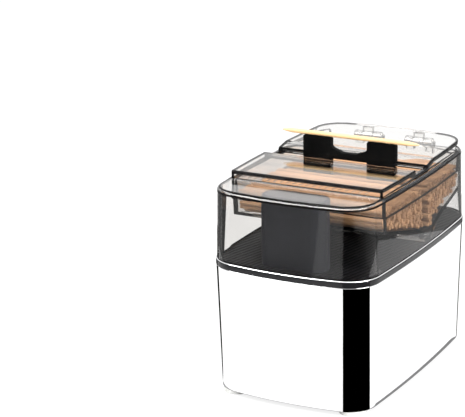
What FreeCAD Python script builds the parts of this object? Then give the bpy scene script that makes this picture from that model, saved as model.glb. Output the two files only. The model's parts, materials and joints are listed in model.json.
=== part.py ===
import FreeCAD, Part
import math
import os
import Sketcher

# A sensor-driven table dispenser that presents one toothpick at a time.
# X runs along the toothpick, Y from the sensor front to the hinge at the back, Z up.
# The origin is on the table, under the middle of the case. Lengths are millimetres.

# Driving sizes: name and value, grouped by the piece that carries them
SIZES = [
    # Plan outline of the case at its rim: straight-sided box with bowed sides and round corners
    ("half_width", 38.5),
    ("half_depth", 58.6),
    ("front_bow", 165.0),
    ("side_bow", 686.0),
    ("corner_radius", 14.2),
    # Shared fits
    ("running_gap", 0.05),
    ("moving_gap", 0.3),
    ("seat_gap", 0.1),
    ("overrun", 5.0),
    # Feet and sleeve
    ("foot_height", 2.0),
    ("foot_radius", 6.0),
    ("foot_side_in", 11.5),
    ("foot_end_in", 10.8),
    ("foot_edge", 0.4),
    ("sleeve_height", 54.7),
    ("sleeve_wall", 0.8),
    ("sleeve_taper", 1.6),
    # Bottom plate
    ("plate_thickness", 3.0),
    # Rim band and deck
    ("band_height", 3.0),
    ("band_proud", 0.15),
    ("band_width", 2.2),
    ("band_edge", 0.6),
    ("deck_drop", 0.3),
    ("deck_thickness", 2.0),
    ("post_side_in", 5.2),
    ("post_front_y", 24.0),
    ("post_rear_side_in", 7.0),
    ("post_rear_in", 15.6),
    ("post_radius", 2.0),
    # Screws
    ("screw_radius", 0.9),
    ("screw_head_radius", 1.7),
    ("screw_head_height", 1.2),
    ("screw_length", 7.0),
    # Sensor tower
    ("tower_in", 7.6),
    ("tower_depth", 12.3),
    ("tower_half_width", 14.8),
    ("tower_corner", 5.6),
    ("tower_wall", 1.4),
    ("tower_gap", 1.0),
    ("window_thickness", 0.9),
    ("window_ledge", 0.7),
    ("sensor_board_thickness", 1.0),
    ("sensor_board_drop", 7.0),
    ("diode_radius", 1.5),
    ("diode_height", 5.4),
    ("diode_flange", 0.3),
    ("diode_spacing", 9.0),
    # Clear cover
    ("cover_inset", 0.3),
    ("cover_lean", 0.6),
    ("cover_wall", 1.5),
    ("cover_height", 30.9),
    ("cover_round", 2.0),
    ("cover_shoulder", 21.6),
    ("cover_side_drop", 0.3),
    ("cover_back_drop", 4.6),
    ("cover_notch_in", 7.5),
    # Lifter fork and the slots that it runs through
    ("fork_y", 7.2),
    ("fork_thickness", 2.4),
    ("fork_rise", 10.15),
    ("fork_floor_gap", 0.5),
    ("fork_foot_drop", 4.0),
    ("prong_inner", 8.4),
    ("prong_in", 16.5),
    ("prong_chamfer", 0.8),
    ("bridge_dip_x", 3.2),
    ("bridge_dip", 6.4),
    ("bridge_flank", 4.0),
    ("bridge_depth", 2.9),
    ("crossbar_height", 5.0),
    ("groove_depth", 0.25),
    ("rack_overlap", 4.5),
    # Toothpicks
    ("pick_room", 0.7),
    ("pick_radius", 1.0),
    ("pick_point", 6.0),
    ("pick_tip_radius", 0.15),
    ("pick_pitch", 2.25),
    ("pick_end_play", 0.5),
    ("stock_below", 4.9),
    ("stock_column", 2.1),
    # Hopper
    ("hopper_end_in", 5.3),
    ("hopper_wall", 1.3),
    ("hopper_below", 0.7),
    ("hopper_front_in", 23.7),
    ("hopper_foot_in", 24.9),
    ("hopper_foot_rise", 14.4),
    ("floor_ahead", 9.6),
    ("floor_rise", 6.6),
    ("edge_ahead", 5.4),
    ("edge_rise", 4.7),
    ("trough_ahead", 2.2),
    ("trough_behind", 3.2),
    ("slope_behind", 9.1),
    ("slope_rise", 5.4),
    ("knee_behind", 17.5),
    ("knee_rise", 8.4),
    ("hopper_back_in", 12.6),
    ("hopper_back_rise", 13.2),
    # Lid
    ("lid_corner", 12.5),
    ("lid_wall", 0.8),
    ("lid_plate", 1.3),
    ("lid_front_in", 22.5),
    ("lid_rise", 3.2),
    ("lid_bevel", 0.7),
    ("skirt_drop", 9.3),
    ("skirt_back_in", 17.6),
    ("skirt_rise_in", 15.1),
    ("skirt_end_rise", 1.7),
    ("channel_ahead", 11.2),
    ("channel_rise", 0.9),
    ("slot_end_in", 4.7),
    ("slot_ahead", 3.8),
    ("slot_behind", 1.7),
    ("hood_front_rise", 2.0),
    ("crest_behind", 8.8),
    ("hood_rise", 3.4),
    # Lid hinge
    ("hinge_in", 5.0),
    ("hinge_drop", 2.1),
    ("hinge_pin_radius", 1.0),
    ("knuckle_radius", 2.2),
    ("knuckle_inner_x", 6.0),
    ("knuckle_split_x", 10.0),
    ("knuckle_split_back_x", 15.0),
    ("knuckle_outer_x", 19.0),
    ("knuckle_web", 2.0),
    # Gears: one module for the whole train
    ("gear_module", 0.5),
    ("gear_backlash", 0.1),
    ("gear_width", 2.0),
    ("gear_space", 0.6),
    ("pinion_width", 2.6),
    ("output_x_gap", 0.05),
    ("output_drop", 7.7),
    ("second_gear_in", 1.65),
    ("gear_pin_radius", 1.0),
    # Gearbox plates
    ("box_behind", 3.0),
    ("box_plate", 1.6),
    ("box_left_reach", 15.0),
    ("box_side_in", 3.5),
    ("box_low_drop", 35.0),
    ("pillar_radius", 1.8),
    ("flange_depth", 7.0),
    # Motor
    ("motor_radius", 10.0),
    ("motor_flat", 7.6),
    ("motor_back_in", 11.8),
    ("motor_front_room", 14.6),
    ("motor_wall", 0.8),
    ("motor_boss_radius", 3.0),
    ("motor_boss_length", 1.2),
    ("motor_cap_length", 2.4),
    ("motor_shaft_radius", 0.75),
    ("armature_radius", 6.2),
    ("armature_room", 11.0),
    ("armature_slot", 1.2),
    ("terminal_width", 1.8),
    ("terminal_length", 4.0),
    ("terminal_thickness", 0.4),
    ("motor_screw_offset", 5.0),
    # Guides
    ("guide_wall", 1.5),
    ("guide_grip", 2.0),
    ("guide_foot_z", 6.4),
    ("guide_below", 8.0),
    # Batteries
    ("cell_gap", 0.2),
    ("cell_ahead", 6.9),
    ("cell_nub_radius", 2.75),
    ("cell_nub_length", 1.0),
    ("cell_side_in", 8.7),
    ("cell_rise", 0.65),
    ("cell_front_in", 8.4),
    ("cell_play", 0.25),
    ("tray_wall", 1.2),
    ("tray_front_room", 1.8),
    ("tray_ahead", 3.8),
    ("tray_roof", 1.85),
    ("contact_thickness", 0.4),
    ("contact_half", 5.2),
    # Battery door
    ("door_side_in", 0.8),
    ("door_front_in", 2.2),
    ("door_foot_gap", 0.6),
    ("door_ahead", 6.8),
    ("door_thickness", 1.6),
    ("door_lift", 0.2),
    ("door_pin_radius", 0.9),
    ("door_pin_z", 3.5),
    ("door_pin_length", 2.4),
    ("door_swing_gap", 1.2),
    # Main board
    ("board_side_in", 5.5),
    ("board_right_x", 8.0),
    ("board_low_z", 8.0),
    ("board_drop", 3.4),
    ("board_behind", 5.8),
    ("board_thickness", 1.6),
    ("board_tab_width", 6.0),
    ("board_tab_height", 10.0),
    ("board_tab_depth", 2.4),
    ("chip_size", 9.0),
    ("chip_height", 1.4),
    ("capacitor_radius", 3.2),
    ("capacitor_height", 8.0),
    ("opto_width", 5.0),
    ("opto_height", 4.0),
    ("opto_depth", 3.0),
    # Power switch on the underside
    ("switch_x", 12.0),
    ("switch_back_in", 28.6),
    ("switch_length", 11.0),
    ("switch_width", 5.6),
    ("switch_height", 4.6),
    ("switch_flange", 16.0),
    ("switch_flange_thickness", 0.6),
    ("knob_length", 3.0),
    ("knob_width", 2.6),
    ("knob_travel", 3.0),
    ("knob_reach", 1.2),
    ("knob_root", 1.0),
]

# Counts
OUTPUT_PINION_TEETH = 22
WHEEL_TEETH = 30
SMALL_TEETH = 10
FLANK_STEPS = 4
ARMATURE_SLOTS = 3

# Angles in radians that scatter the toothpicks' end play from row to row and place to place
ROW_PHASE = 7.0
PLACE_PHASE = 3.1

# Shares and angles of the gear tooth form
ADDENDUM_SHARE = 0.8
DEDENDUM_SHARE = 1.05
PRESSURE_ANGLE = math.radians(25.0)
MOTOR_DIRECTION = math.radians(-135.0)

# The cover's rounded shoulder: shares of its radius drawn in and left below the top
SHOULDER_SHARES = [(0.0, 1.0), (0.29, 0.46), (1.0, 0.0)]

# Middles of the four cells, in shares of their pitch
CELL_SHARES = [-1.5, -0.5, 0.5, 1.5]


class Size:
    """A length of the sheet, or one worked out from such lengths, with its cell text."""

    def __init__(self, value, text):
        self.value = value
        self.text = text

    def __float__(self):
        return float(self.value)

    def __add__(self, other):
        other = as_size(other)
        return Size(self.value + other.value, f"({self.text} + {other.text})")

    def __radd__(self, other):
        return as_size(other) + self

    def __sub__(self, other):
        other = as_size(other)
        return Size(self.value - other.value, f"({self.text} - {other.text})")

    def __rsub__(self, other):
        return as_size(other) - self

    def __mul__(self, factor):
        factor = as_size(factor)
        return Size(self.value * factor.value, f"({self.text} * {factor.text})")

    def __rmul__(self, factor):
        return as_size(factor) * self

    def __truediv__(self, factor):
        factor = as_size(factor)
        return Size(self.value / factor.value, f"({self.text} / {factor.text})")

    def __neg__(self):
        return Size(-self.value, f"(0 - {self.text})")


def as_size(number):
    """Return a plain number as a Size, and a Size as it is."""
    if isinstance(number, Size):
        return number
    return Size(float(number), repr(float(number)))


class Sizes:
    """The driving sizes, each under its own name."""


doc = FreeCAD.newDocument("toothpick_dispenser")
sheet = doc.addObject("Spreadsheet::Sheet", "Sizes")
s = Sizes()
for row, (size_name, size_value) in enumerate(SIZES, start=1):
    sheet.set(f"A{row}", size_name)
    sheet.set(f"B{row}", str(size_value))
    sheet.setAlias(f"B{row}", size_name)
    setattr(s, size_name, Size(size_value, f"Sizes.{size_name}"))
doc.recompute()

ZERO = as_size(0)
sub_parts = []

# Levels and places that follow from the driving sizes: first the case
s.sleeve_top = s.foot_height + s.sleeve_height
s.band_top = s.sleeve_top + s.band_height
s.deck_top = s.band_top - s.deck_drop
s.deck_bottom = s.deck_top - s.deck_thickness
s.plate_top = s.foot_height + s.plate_thickness
s.cover_top = s.band_top + s.cover_height
s.foot_x = s.half_width - s.foot_side_in
s.foot_y = s.half_depth - s.foot_end_in
s.post_x = s.half_width - s.post_side_in
s.post_rear_x = s.half_width - s.post_rear_side_in
s.post_rear_y = s.half_depth - s.post_rear_in
s.tower_front_y = s.half_depth - s.tower_in
s.cover_opening_y = s.half_depth - s.cover_shoulder
s.cover_back_half = s.half_width - s.cover_notch_in

# The lifter and its drive
s.output_z = s.sleeve_top - s.output_drop
s.fork_foot = s.output_z - s.fork_foot_drop
s.fork_travel = s.fork_foot - s.plate_top - s.fork_floor_gap
s.fork_top = s.cover_top + s.fork_rise
s.prong_outer = s.half_width - s.prong_in
s.front_plate_y = s.fork_y + s.box_behind
s.box_right_x = s.half_width - s.box_side_in
s.box_low_z = s.output_z - s.box_low_drop
s.motor_length = s.half_depth - s.fork_y - s.motor_back_in - s.motor_front_room
s.armature_length = s.motor_length - s.armature_room
s.right_guide_top = s.output_z - s.guide_below

# The hopper and the lid
s.hopper_top = s.cover_top - s.hopper_below
s.stock_top = s.hopper_top - s.stock_below
s.hopper_inner_half = s.half_width - s.hopper_end_in
s.pick_length = (s.hopper_inner_half - s.pick_room) * 2
s.hopper_front_y = s.half_depth - s.hopper_front_in
s.hopper_front_foot_y = s.half_depth - s.hopper_foot_in
s.hopper_front_foot_z = s.deck_top + s.hopper_foot_rise
s.hopper_floor_y = s.floor_ahead - s.fork_y
s.hopper_floor_z = s.deck_top + s.floor_rise
s.trough_edge_y = s.fork_y - s.edge_ahead
s.trough_edge_z = s.deck_top + s.edge_rise
s.trough_front_y = s.fork_y - s.trough_ahead
s.trough_back_y = s.fork_y + s.trough_behind
s.rear_slope_y = s.fork_y + s.slope_behind
s.rear_slope_z = s.deck_top + s.slope_rise
s.rear_knee_y = s.fork_y + s.knee_behind
s.rear_knee_z = s.deck_top + s.knee_rise
s.hopper_back_y = s.half_depth - s.hopper_back_in
s.hopper_back_z = s.deck_top + s.hopper_back_rise
s.lid_front_y = s.half_depth - s.lid_front_in
s.lid_top = s.cover_top + s.lid_rise
s.lid_skirt_z = s.cover_top - s.skirt_drop
s.skirt_back_y = s.half_depth - s.skirt_back_in
s.skirt_rise_y = s.half_depth - s.skirt_rise_in
s.skirt_rise_z = s.cover_top + s.skirt_end_rise
s.channel_front_y = s.channel_ahead - s.fork_y
s.channel_z = s.cover_top + s.channel_rise
s.slot_half_width = s.half_width - s.slot_end_in
s.slot_front_y = s.fork_y - s.slot_ahead
s.slot_back_y = s.fork_y + s.slot_behind
s.hood_front_z = s.cover_top + s.hood_front_rise
s.hood_crest_y = s.fork_y + s.crest_behind
s.hood_top = s.cover_top + s.hood_rise
s.hinge_y = s.half_depth - s.hinge_in
s.hinge_z = s.cover_top - s.hinge_drop

# The batteries, their door, the board and the switch
s.cell_pitch = (s.half_width - s.cell_side_in) / 2
s.cell_radius = s.cell_pitch / 2 - s.cell_gap
s.cell_z = s.plate_top + s.cell_radius + s.cell_rise
s.cell_front_y = s.half_depth - s.cell_front_in
s.cell_length = s.cell_front_y + s.fork_y - s.cell_ahead - s.cell_nub_length
s.tray_half_width = s.cell_pitch * 2 + s.tray_wall
s.tray_front_y = s.cell_front_y + s.tray_front_room
s.tray_back_y = s.fork_y - s.tray_ahead
s.tray_top = s.cell_z + s.cell_radius + s.tray_roof
s.door_half_width = s.cell_pitch * 2 - s.door_side_in
s.door_front_y = s.cell_front_y - s.door_front_in
s.door_nose_half = s.foot_x - s.foot_radius - s.door_foot_gap
s.door_shoulder_y = s.foot_y - s.foot_radius - s.door_foot_gap
s.door_back_y = s.fork_y - s.door_ahead
s.board_left_x = s.half_width - s.board_side_in
s.board_top_z = s.deck_bottom - s.board_drop
s.board_y = s.fork_y + s.board_behind
s.switch_y = s.half_depth - s.switch_back_in


# Building blocks

def bind(piece, path, size):
    """Tie one property of a piece to a size of the sheet."""
    piece.setExpression(path, as_size(size).text)


def put(piece, corner):
    """Tie a piece's place to sizes of the sheet."""
    for axis_name, size in zip("xyz", corner):
        bind(piece, f"Placement.Base.{axis_name}", size)


def box(name, low, high):
    """A box between two corners."""
    piece = doc.addObject("Part::Box", name)
    bind(piece, "Length", high[0] - low[0])
    bind(piece, "Width", high[1] - low[1])
    bind(piece, "Height", high[2] - low[2])
    put(piece, low)
    return piece


TURNS = {
    "x": FreeCAD.Rotation(FreeCAD.Vector(0, 1, 0), 90),
    "y": FreeCAD.Rotation(FreeCAD.Vector(1, 0, 0), -90),
    "z": FreeCAD.Rotation(),
}


def rod(name, axis, start, length, radius):
    """A cylinder that starts at a point and runs along an axis."""
    piece = doc.addObject("Part::Cylinder", name)
    piece.Placement.Rotation = TURNS[axis]
    bind(piece, "Radius", radius)
    bind(piece, "Height", length)
    put(piece, start)
    return piece


def joined(name, pieces):
    """Several touching or crossing pieces as one solid."""
    piece = doc.addObject("Part::MultiFuse", name)
    piece.Shapes = pieces
    piece.Refine = True
    return piece


def shared(name, pieces):
    """The space that several pieces have in common."""
    piece = doc.addObject("Part::MultiCommon", name)
    piece.Shapes = pieces
    return piece


def without(name, base, tools):
    """A piece with one or more others cut away."""
    tool = tools[0] if len(tools) == 1 else joined(f"{name}_cuts", tools)
    piece = doc.addObject("Part::Cut", name)
    piece.Base = base
    piece.Tool = tool
    return piece


def group(name, pieces):
    """Separate solids that share one node."""
    piece = doc.addObject("Part::Compound", name)
    piece.Links = pieces
    return piece


def shaped(name, shape):
    """A piece whose form comes from the functions of this file."""
    piece = doc.addObject("Part::Feature", name)
    piece.Shape = shape
    piece.Placement = FreeCAD.Placement()
    return piece


def keep(name, piece):
    """Name a finished sub-part and list it for writing."""
    piece.Label = name
    sub_parts.append(piece)
    return piece


def origin_plane(body, role):
    """The body's own plane with the given role."""
    for feature in body.Origin.OriginFeatures:
        if feature.Role == role:
            return feature
    raise RuntimeError(f"no {role}")


def draw_polygon(sketch, points):
    """Draw a closed outline whose corners are tied to the sheet."""
    count = len(points)
    first = sketch.GeometryCount
    for index in range(count):
        start = points[index]
        end = points[(index + 1) % count]
        start_point = FreeCAD.Vector(float(start[0]), float(start[1]), 0)
        end_point = FreeCAD.Vector(float(end[0]), float(end[1]), 0)
        sketch.addGeometry(Part.LineSegment(start_point, end_point), False)
    for index in range(count):
        following = first + (index + 1) % count
        sketch.addConstraint(Sketcher.Constraint("Coincident", first + index, 2, following, 1))
    for index, point in enumerate(points):
        for kind, size in zip(("DistanceX", "DistanceY"), point):
            rule = Sketcher.Constraint(kind, -1, 1, first + index, 1, float(size))
            number = sketch.addConstraint(rule)
            sketch.setExpression(f"Constraints[{number}]", size.text)


def draw_circle(sketch, centre, radius):
    """Draw a circle whose centre and radius are tied to the sheet."""
    middle = FreeCAD.Vector(float(centre[0]), float(centre[1]), 0)
    index = sketch.addGeometry(Part.Circle(middle, FreeCAD.Vector(0, 0, 1), float(radius)), False)
    for kind, size in zip(("DistanceX", "DistanceY"), centre):
        number = sketch.addConstraint(Sketcher.Constraint(kind, -1, 1, index, 3, float(size)))
        sketch.setExpression(f"Constraints[{number}]", as_size(size).text)
    number = sketch.addConstraint(Sketcher.Constraint("Radius", index, float(radius)))
    sketch.setExpression(f"Constraints[{number}]", as_size(radius).text)


def slab(name, role, low, high, outline, circles=()):
    """A body padded from one drawn outline, between two places along its plane's normal.

    XY_Plane draws (x, y) and runs along Z, YZ_Plane draws (y, z) and runs along X,
    XZ_Plane draws (x, z) and runs along Y.
    """
    body = doc.addObject("PartDesign::Body", name)
    sketch = body.newObject("Sketcher::SketchObject", f"{name}_outline")
    sketch.AttachmentSupport = [(origin_plane(body, role), "")]
    sketch.MapMode = "FlatFace"
    start = -high if role == "XZ_Plane" else low
    bind(sketch, "AttachmentOffset.Base.z", start)
    draw_polygon(sketch, [(as_size(across), as_size(up)) for across, up in outline])
    for centre, radius in circles:
        draw_circle(sketch, centre, radius)
    pad = body.newObject("PartDesign::Pad", f"{name}_pad")
    pad.Profile = sketch
    bind(pad, "Length", high - low)
    body.Tip = pad
    return body


def rectangle(left, low, right, high):
    """The four corners of a rectangle."""
    return [(left, low), (right, low), (right, high), (left, high)]


# The case outline: four gentle bows joined by four round corners

def arc_between(centre, radius, start, end, z):
    """An arc about a centre, the short way from start to end."""
    first = math.atan2(start[1] - centre[1], start[0] - centre[0])
    last = math.atan2(end[1] - centre[1], end[0] - centre[0])
    turn = (last - first + math.pi) % (2 * math.pi) - math.pi
    middle = first + turn / 2

    def at(angle):
        return FreeCAD.Vector(centre[0] + radius * math.cos(angle), centre[1] + radius * math.sin(angle), z)

    start_point = FreeCAD.Vector(start[0], start[1], z)
    end_point = FreeCAD.Vector(end[0], end[1], z)
    return Part.Arc(start_point, at(middle), end_point).toShape()


def outline_wire(half_x, half_y, end_bow, side_bow, corner, z):
    """The case outline at a height, as one closed wire of eight arcs."""
    end_centre = (0.0, half_y - end_bow)
    side_centre = (half_x - side_bow, 0.0)
    to_end = end_bow - corner
    to_side = side_bow - corner
    run_x = side_centre[0] - end_centre[0]
    run_y = side_centre[1] - end_centre[1]
    span = math.hypot(run_x, run_y)
    along = (to_end ** 2 - to_side ** 2 + span ** 2) / (2 * span)
    aside = math.sqrt(to_end ** 2 - along ** 2)
    corner_x = end_centre[0] + (run_x * along - run_y * -aside) / span
    corner_y = end_centre[1] + (run_y * along + run_x * -aside) / span
    if corner_x < 0 or corner_y < 0:
        corner_x = end_centre[0] + (run_x * along - run_y * aside) / span
        corner_y = end_centre[1] + (run_y * along + run_x * aside) / span
    end_share = end_bow / to_end
    side_share = side_bow / to_side
    end_point = (corner_x * end_share, end_centre[1] + (corner_y - end_centre[1]) * end_share)
    side_point = (side_centre[0] + (corner_x - side_centre[0]) * side_share, corner_y * side_share)
    edges = []
    signs = [(1, 1), (-1, 1), (-1, -1), (1, -1)]
    for index, (sign_x, sign_y) in enumerate(signs):
        near = (end_point[0] * sign_x, end_point[1] * sign_y)
        far = (side_point[0] * sign_x, side_point[1] * sign_y)
        start, end = (far, near) if index % 2 == 0 else (near, far)
        corner_centre = (corner_x * sign_x, corner_y * sign_y)
        edges.append(arc_between(corner_centre, corner, start, end, z))
        next_sign_x, next_sign_y = signs[(index + 1) % 4]
        if index % 2 == 0:
            bow_end = (end_point[0] * next_sign_x, end_point[1] * next_sign_y)
            bow_centre = (0.0, end_centre[1] * sign_y)
            edges.append(arc_between(bow_centre, end_bow, near, bow_end, z))
        else:
            bow_end = (side_point[0] * next_sign_x, side_point[1] * next_sign_y)
            bow_centre = (side_centre[0] * sign_x, 0.0)
            edges.append(arc_between(bow_centre, side_bow, far, bow_end, z))
    return Part.Wire(edges)


def case_wire(inset, z):
    """The case outline, drawn in by an inset, at a height."""
    inset = float(inset)
    return outline_wire(
        float(s.half_width) - inset,
        float(s.half_depth) - inset,
        float(s.front_bow) - inset,
        float(s.side_bow) - inset,
        float(s.corner_radius) - inset,
        float(z),
    )


def case_stack(levels):
    """A solid through case outlines, each given by its inset and its height."""
    wires = [case_wire(inset, z) for inset, z in levels]
    return Part.makeLoft(wires, True, True)


def case_prism(inset, low, high):
    """A straight solid with the case outline, drawn in by an inset."""
    face = Part.Face(case_wire(inset, low))
    return face.extrude(FreeCAD.Vector(0, 0, float(high) - float(low)))


# Insets of the cover and the lid, and the lifter's two faces
cover_top_inset = s.cover_inset + s.cover_lean
lid_inset = cover_top_inset + s.cover_wall + s.moving_gap
lid_half_width = s.half_width - lid_inset
lid_half_depth = s.half_depth - cover_top_inset
fork_front = s.fork_y - s.fork_thickness / 2
fork_back = s.fork_y + s.fork_thickness / 2


def sleeve_inset(z):
    """How far the sleeve's outside stands in from the rim outline at a height."""
    return s.sleeve_taper * (s.sleeve_top - z) / s.sleeve_height


# Fasteners

def screw(name, axis, head, direction, length):
    """A pan-head screw: its head starts at a point and its shank runs on along the axis.

    direction is 1 when the shank runs towards the positive axis and -1 otherwise.
    """
    shift = {"x": (1, 0, 0), "y": (0, 1, 0), "z": (0, 0, 1)}[axis]
    if direction > 0:
        head_start = head
        reach = s.screw_head_height
        shank_start = tuple(place + reach * along for place, along in zip(head, shift))
    else:
        head_start = tuple(place - s.screw_head_height * along for place, along in zip(head, shift))
        reach = s.screw_head_height + length
        shank_start = tuple(place - reach * along for place, along in zip(head, shift))
    cap = rod(f"{name}_head", axis, head_start, s.screw_head_height, s.screw_head_radius)
    shank = rod(f"{name}_shank", axis, shank_start, length, s.screw_radius)
    return joined(name, [cap, shank])


POST_PLACES = [
    (s.post_x, -s.post_front_y),
    (-s.post_x, -s.post_front_y),
    (s.post_rear_x, s.post_rear_y),
    (-s.post_rear_x, s.post_rear_y),
]


# Case: feet, sleeve, bottom plate, battery door, rim band and deck

def make_feet():
    """Four round rubber feet under the corners, with a softened lower edge."""
    feet = []
    for index, (sign_x, sign_y) in enumerate([(1, 1), (1, -1), (-1, 1), (-1, -1)]):
        centre = (s.foot_x * sign_x, s.foot_y * sign_y)
        base = doc.addObject("Part::Cone", f"foot_edge_{index}")
        bind(base, "Radius1", s.foot_radius - s.foot_edge)
        bind(base, "Radius2", s.foot_radius)
        bind(base, "Height", s.foot_edge)
        put(base, (*centre, ZERO))
        rest = rod(
            f"foot_body_{index}", "z", (*centre, s.foot_edge), s.foot_height - s.foot_edge, s.foot_radius
        )
        feet.append(joined(f"foot_{index}", [base, rest]))
    keep("rubber_feet", group("rubber_feet", feet))


def make_sleeve():
    """The polished metal sleeve: an open tube that narrows a little towards the table."""
    outer = case_stack([(s.sleeve_taper, s.foot_height), (ZERO, s.sleeve_top)])
    inner = case_stack([
        (sleeve_inset(s.foot_height - s.overrun) + s.sleeve_wall, s.foot_height - s.overrun),
        (sleeve_inset(s.sleeve_top + s.overrun) + s.sleeve_wall, s.sleeve_top + s.overrun),
    ])
    keep("sleeve", shaped("sleeve", outer.cut(inner)))


def door_outline(front_gap, back_gap):
    """The door's outline, grown by gaps: its front corners step in round the feet."""
    side = s.door_half_width + front_gap
    nose = s.door_nose_half + front_gap
    shoulder = -s.door_shoulder_y - front_gap
    front = -s.door_front_y - front_gap
    back = s.door_back_y + back_gap
    right = [(nose, front), (nose, shoulder), (side, shoulder), (side, back)]
    return right + [(-x, y) for x, y in reversed(right)]


def make_bottom_plate():
    """The plate that closes the sleeve from below, with the door opening and switch slot."""
    inset = s.sleeve_taper + s.sleeve_wall + s.seat_gap
    plate = shaped("bottom_plate_blank", case_prism(inset, s.foot_height, s.plate_top))
    over_low = s.foot_height - s.overrun
    over_high = s.plate_top + s.overrun
    opening = slab(
        "door_opening", "XY_Plane", over_low, over_high,
        door_outline(s.moving_gap, s.door_swing_gap),
    )
    pin_span = s.door_half_width + s.door_pin_length + s.moving_gap
    pin_y = s.door_back_y - s.door_pin_radius
    sockets = rod(
        "door_sockets", "x", (-pin_span, pin_y, s.door_pin_z), pin_span * 2, s.door_pin_radius + s.seat_gap
    )
    half_slot = (s.knob_length + s.knob_travel) / 2 + s.moving_gap
    slot = box(
        "switch_slot",
        (-s.switch_x - half_slot, s.switch_y - s.knob_width / 2 - s.moving_gap, over_low),
        (-s.switch_x + half_slot, s.switch_y + s.knob_width / 2 + s.moving_gap, over_high),
    )
    cuts = [opening, sockets, slot]
    for index, (x, y) in enumerate(POST_PLACES):
        hole_radius = s.screw_radius + s.seat_gap
        cuts.append(rod(f"base_hole_{index}", "z", (x, y, over_low), over_high - over_low, hole_radius))
        sink_depth = s.screw_head_height + s.seat_gap + s.overrun
        sink_radius = s.screw_head_radius + s.seat_gap
        cuts.append(rod(f"base_sink_{index}", "z", (x, y, over_low), sink_depth, sink_radius))
    keep("bottom_plate", without("bottom_plate", plate, cuts))


def make_battery_door():
    """The battery door: a plate with two trunnions at its back edge."""
    low = s.foot_height + s.door_lift
    panel = slab(
        "door_panel", "XY_Plane", low, low + s.door_thickness,
        door_outline(ZERO, ZERO),
    )
    pin_y = s.door_back_y - s.door_pin_radius
    pin_span = s.door_half_width + s.door_pin_length
    trunnion_start = (-pin_span, pin_y, s.door_pin_z)
    trunnions = rod("door_trunnions", "x", trunnion_start, pin_span * 2, s.door_pin_radius)
    grip = box(
        "door_grip",
        (-s.door_nose_half / 3, -s.door_front_y + s.tray_wall * 2, low),
        (s.door_nose_half / 3, -s.door_front_y + s.tray_wall * 4, low + s.door_thickness / 2),
    )
    keep("battery_door", without("battery_door", joined("door_whole", [panel, trunnions]), [grip]))


def make_band():
    """The glossy band between sleeve and cover, a touch proud, with a softened top edge."""
    outer = case_stack([
        (-s.band_proud + s.band_edge / 2, s.sleeve_top),
        (-s.band_proud, s.sleeve_top + s.band_edge / 2),
        (-s.band_proud, s.band_top - s.band_edge),
        (-s.band_proud + s.band_edge / 3, s.band_top - s.band_edge / 3),
        (-s.band_proud + s.band_edge, s.band_top),
    ])
    inner = case_prism(s.band_width, s.sleeve_top - s.overrun, s.band_top + s.overrun)
    keep("rim_band", shaped("rim_band", outer.cut(inner)))


def make_deck():
    """The deck under the cover, with the fork slot, four screw posts and two board tabs."""
    plate = shaped("deck_blank", case_prism(s.band_width, s.deck_bottom, s.deck_top))
    pieces = [plate]
    for index, (x, y) in enumerate(POST_PLACES):
        length = s.deck_bottom - s.plate_top + s.deck_thickness / 2
        pieces.append(rod(f"deck_post_{index}", "z", (x, y, s.plate_top), length, s.post_radius))
    tab_low = s.board_top_z - s.board_tab_height
    tab_front = s.board_y + s.board_thickness
    for index, left in enumerate([-s.board_left_x, s.board_right_x - s.board_tab_width]):
        tab = box(
            f"board_tab_{index}",
            (left, tab_front, tab_low),
            (left + s.board_tab_width, tab_front + s.board_tab_depth, s.deck_bottom + s.deck_thickness / 2),
        )
        pieces.append(tab)
    slot = box(
        "deck_slot",
        (-s.prong_outer - s.moving_gap, fork_front - s.moving_gap, s.deck_bottom - s.overrun),
        (s.prong_outer + s.moving_gap, fork_back + s.moving_gap, s.deck_top + s.overrun),
    )
    cuts = [slot]
    for index, (x, y) in enumerate(POST_PLACES):
        bore = rod(f"post_bore_{index}", "z", (x, y, s.plate_top - s.overrun), s.overrun + s.screw_length,
                   s.screw_radius + s.running_gap)
        cuts.append(bore)
    for index, (x, z) in enumerate(board_screw_places()):
        cuts.append(rod(f"tab_bore_{index}", "y", (x, tab_front - s.overrun, z),
                        s.overrun * 2 + s.board_tab_depth, s.screw_radius + s.running_gap))
    keep("deck", without("deck", joined("deck_whole", pieces), cuts))


def board_screw_places():
    """Where the two screws hold the main board to the deck's tabs."""
    z = s.board_top_z - s.board_tab_height / 2
    left = -s.board_left_x + s.board_tab_width / 2
    right = s.board_right_x - s.board_tab_width / 2
    return [(left, z), (right, z)]


def make_base_screws():
    """Four screws from below, through the bottom plate into the deck's posts."""
    screws = []
    for index, (x, y) in enumerate(POST_PLACES):
        head = (x, y, s.foot_height + s.seat_gap)
        shank = s.plate_thickness - s.screw_head_height - s.seat_gap + s.screw_length - s.seat_gap * 2
        screws.append(screw(f"base_screw_{index}", "z", head, 1, shank))
    keep("base_screws", group("base_screws", screws))


# Sensor tower

def rounded_prism(half_x, half_y, corner, centre_y, low, high):
    """A straight solid with a rounded rectangle as its plan."""
    half_x, half_y, corner = float(half_x), float(half_y), float(corner)
    centre_y = float(centre_y)
    edges = []
    corners = [(1, 1), (-1, 1), (-1, -1), (1, -1)]
    for index, (sign_x, sign_y) in enumerate(corners):
        middle = (sign_x * (half_x - corner), centre_y + sign_y * (half_y - corner))
        on_side = (sign_x * half_x, middle[1])
        on_end = (middle[0], centre_y + sign_y * half_y)
        start, end = (on_side, on_end) if index % 2 == 0 else (on_end, on_side)
        edges.append(arc_between(middle, corner, start, end, float(low)))
        next_x, next_y = corners[(index + 1) % 4]
        if index % 2 == 0:
            following = (next_x * (half_x - corner), on_end[1])
        else:
            following = (on_side[0], centre_y + next_y * (half_y - corner))
        edges.append(Part.LineSegment(
            FreeCAD.Vector(end[0], end[1], float(low)),
            FreeCAD.Vector(following[0], following[1], float(low)),
        ).toShape())
    face = Part.Face(Part.Wire(edges))
    return face.extrude(FreeCAD.Vector(0, 0, float(high) - float(low)))


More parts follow.
